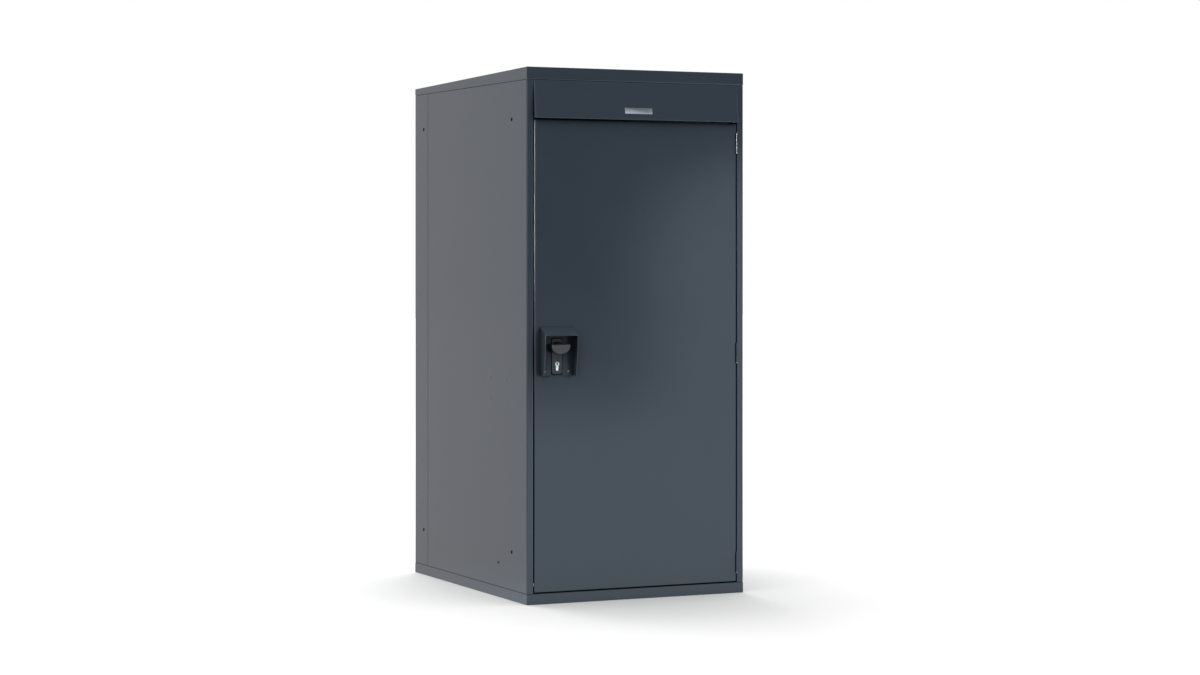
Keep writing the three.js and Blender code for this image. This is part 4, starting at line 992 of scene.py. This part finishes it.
EDGE_LIT = (
    "door_sheet", "hood_shell", "turn_grip", "cylinder_body", "key_plug_face", "blind_rivet_left", "blind_rivet_right",
    *(f"{kind}_{place}" for kind in ("cabinet_leaf", "door_leaf", "pin") for place in PLACES),
)


class LOCKER_OT_stage(bpy.types.Operator):
    """Set the floor, the light and the camera"""

    bl_idname = "locker.stage"
    bl_label = "Stage"

    def execute(self, context):
        scene, stage = context.scene, context.scene.locker.stage
        self.floor(stage)
        self.flag()
        self.world(scene, stage)
        self.lamps(scene, stage)
        self.camera(scene, stage)
        scene.view_settings.view_transform = "Standard"
        return {"FINISHED"}

    @staticmethod
    def card(name, half_width, label, at=Matrix()):
        """A flat card of the stage, and the wiring of its material."""
        shape = bmesh.new()
        bmesh.ops.create_grid(shape, x_segments=1, y_segments=1, size=half_width)
        bmesh.ops.transform(shape, matrix=at, verts=shape.verts)
        material = bpy.data.materials.new(label)
        made = make_object(name, shape, material)
        return made, emptied(material)

    def floor(self, stage):
        """A pale floor. The camera sees it white but for the shadow, and the paint mirrors its studio tone."""
        _, w = self.card("floor", stage.floor_span / 2, "Pale Floor")
        path = w.node("LightPath").outputs
        coords = w.coords()
        near, far = 3.0, 8.0
        seen = w.ramp(w.vector("LENGTH", coords)["Value"], near, far, stage.floor_tone, 1.0)
        bounce = stage.floor_bounce
        shade = w.blend(path["Is Camera Ray"], (bounce, bounce, bounce, 1), seen)
        plain = w.node("BsdfDiffuse", {"Color": shade}).outputs[0]
        along = w.parts(coords)
        rear = tuple(1.035 * c for c in stage.rear_tone)
        mirrored = w.blend(w.ramp(along["Y"], -2.0, 1.0), (*stage.front_tone, 1), (*rear, 1))
        left = w.times(w.ramp(along["X"], -2.4, -1.2, 1.0, 0.0), w.ramp(along["Y"], -1.5, 0.0, 1.0, 0.0))
        mirrored = w.blend(left, mirrored, (*stage.left_tone, 1))
        glow = w.node("Emission", {"Color": mirrored}).outputs[0]
        w.finish("OutputMaterial", w.mix(path["Is Glossy Ray"], plain, glow))

    def flag(self):
        """A dark cloth flag in front on the right, with a bright window. Only the paint's reflections see it."""
        upright = Matrix.Translation((4.55, -7.56, 2.75)) @ Matrix.Rotation(math.pi / 2, 4, "X")
        flag, w = self.card("studio_flag", 1.0, "Dark Flag", upright @ Matrix.Diagonal((2.45, 2.74, 1, 1)))
        coords = w.coords()
        half = (0.5, 0.5, 0.5)
        wave = w.vector("SUBTRACT", w.noise(coords, 1.6, output="Color"), half)[0]
        ragged = w.parts(w.vector("ADD", coords, w.vector("MULTIPLY", wave, half)[0])[0])
        x, z = ragged["X"], ragged["Z"]
        leaning = w.times(w.math("MAXIMUM", w.minus(z, 1.3), 0.0), 0.5)
        right = w.ramp(w.minus(x, leaning), 3.15, 3.8)
        beyond = w.math("MAXIMUM", w.minus(x, 4.0), 0.0)
        window = w.times(right, w.ramp(w.plus(z, w.times(beyond, 0.3)), 1.83, 1.99, 1.0, 0.0))
        thin = w.times(w.ramp(z, 0.45, 1.2, 0.2, 0.0), w.ramp(x, 3.0, 3.6, 1.0, 0.15))
        cloth = w.times(w.ramp(z, 0.08, 0.5), w.minus(1.0, thin))
        cover = w.times(w.minus(1.0, window), cloth)
        clear = w.node("BsdfTransparent").outputs[0]
        dark = w.node("Emission", {"Color": (0.05, 0.06, 0.08, 1)}).outputs[0]
        w.finish("OutputMaterial", w.mix(cover, clear, dark))
        flag.visible_camera = flag.visible_diffuse = flag.visible_shadow = flag.visible_transmission = False

    @staticmethod
    def world(scene, stage):
        """White behind the locker, light that is stronger from above, and studio tones for the mirrored rays."""
        scene.world = bpy.data.worlds.new("Soft Studio")
        w = emptied(scene.world)
        path = w.node("LightPath").outputs
        way = w.parts(w.node("TexCoord").outputs["Generated"])

        def shine(shown, strength=1.0):
            return w.node("Background", {"Color": shown, "Strength": strength}).outputs[0]

        strength = w.plus(stage.sky, w.times(w.math("MAXIMUM", way["Z"], 0.0), stage.zenith))
        level = w.blend(w.ramp(way["Y"], -0.5, 0.4), (*stage.front_tone, 1), (*stage.rear_tone, 1))
        left = w.times(w.ramp(way["X"], -0.6, -0.2, 1.0, 0.0), w.ramp(way["Y"], -0.3, 0.2, 1.0, 0.0))
        level = w.blend(left, level, (*stage.left_tone, 1))
        mirrored = shine(w.blend(w.ramp(way["Z"], 0.2, 0.5), level, (*stage.top_tone, 1)))
        white = (1, 1, 1, 1)
        behind = w.mix(path["Is Glossy Ray"], shine(white, strength), mirrored)
        direct = w.math("MAXIMUM", path["Is Camera Ray"], path["Is Transmission Ray"])
        w.finish("OutputWorld", w.mix(direct, behind, shine(white)))

    @staticmethod
    def lamps(scene, stage):
        """A soft key above, behind the locker, and a light on the left that only shows on a few pieces."""
        for name, watts, at, aim, width, height in (
            ("key", stage.key, (-0.1, 2.15, 6.5), (0.0, 0.0, 0.0), 3.2, 3.2),
            ("edge_light", stage.edge, (-5.4, -4.2, 1.75), (-0.4, -0.56, 1.6), 1.6, 1.3),
        ):
            light = bpy.data.lights.new(name, "AREA")
            light.shape = "RECTANGLE"
            light.size, light.size_y = width, height
            light.energy = watts
            lamp = bpy.data.objects.new(name, light)
            lamp.matrix_world = placing(at, Vector(at) - Vector(aim))
            scene.collection.objects.link(lamp)
            lamp.visible_diffuse = name == "key"
            lamp.visible_glossy = name != "key"
        lit = bpy.data.collections.new("Lit by the edge light")
        for piece in EDGE_LIT:
            lit.objects.link(bpy.data.objects[piece])
        lamp.light_linking.receiver_collection = lit

    @staticmethod
    def camera(scene, stage):
        """The camera looks level, and its shift sets the horizon."""
        data = bpy.data.cameras.new("Camera")
        data.sensor_fit = "HORIZONTAL"
        data.sensor_width = 36.0
        data.lens = stage.lens
        data.shift_y = stage.horizon
        data.clip_start = 0.1
        data.clip_end = 200.0
        camera = bpy.data.objects.new("Camera", data)
        camera.location = stage.eye
        camera.rotation_euler = (math.pi / 2, 0, stage.heading)
        scene.collection.objects.link(camera)
        scene.camera = camera


class LOCKER_PT_sidebar(bpy.types.Panel):
    """Lists the locker's steps"""

    bl_label = "Bicycle Locker"
    bl_idname = "LOCKER_PT_sidebar"
    bl_space_type = "VIEW_3D"
    bl_region_type = "UI"
    bl_category = "Locker"

    def draw(self, context):
        for operator in OPERATORS:
            self.layout.operator(operator.bl_idname)


OPERATORS = (
    LOCKER_OT_finishes, LOCKER_OT_plate, LOCKER_OT_lock_furniture, LOCKER_OT_sheet_panels, LOCKER_OT_hood_rivets,
    LOCKER_OT_anchor_rivets, LOCKER_OT_link_sleeves, LOCKER_OT_hinges, LOCKER_OT_bent_bars,
    LOCKER_OT_inside_fasteners, LOCKER_OT_spot_welds, LOCKER_OT_stage,
)
CLASSES = (
    PaintSettings, MetalSettings, PlateSettings, LockSettings, FastenerSettings, StageSettings, LockerSettings,
    *OPERATORS, LOCKER_PT_sidebar,
)


def register():
    for kind in CLASSES:
        bpy.utils.register_class(kind)
    bpy.types.Scene.locker = PointerProperty(type=LockerSettings)


def unregister():
    del bpy.types.Scene.locker
    for kind in reversed(CLASSES):
        bpy.utils.unregister_class(kind)


def main():
    register()
    for operator in OPERATORS:
        getattr(bpy.ops.locker, operator.bl_idname.split(".")[1])()


if __name__ == "__main__":
    main()
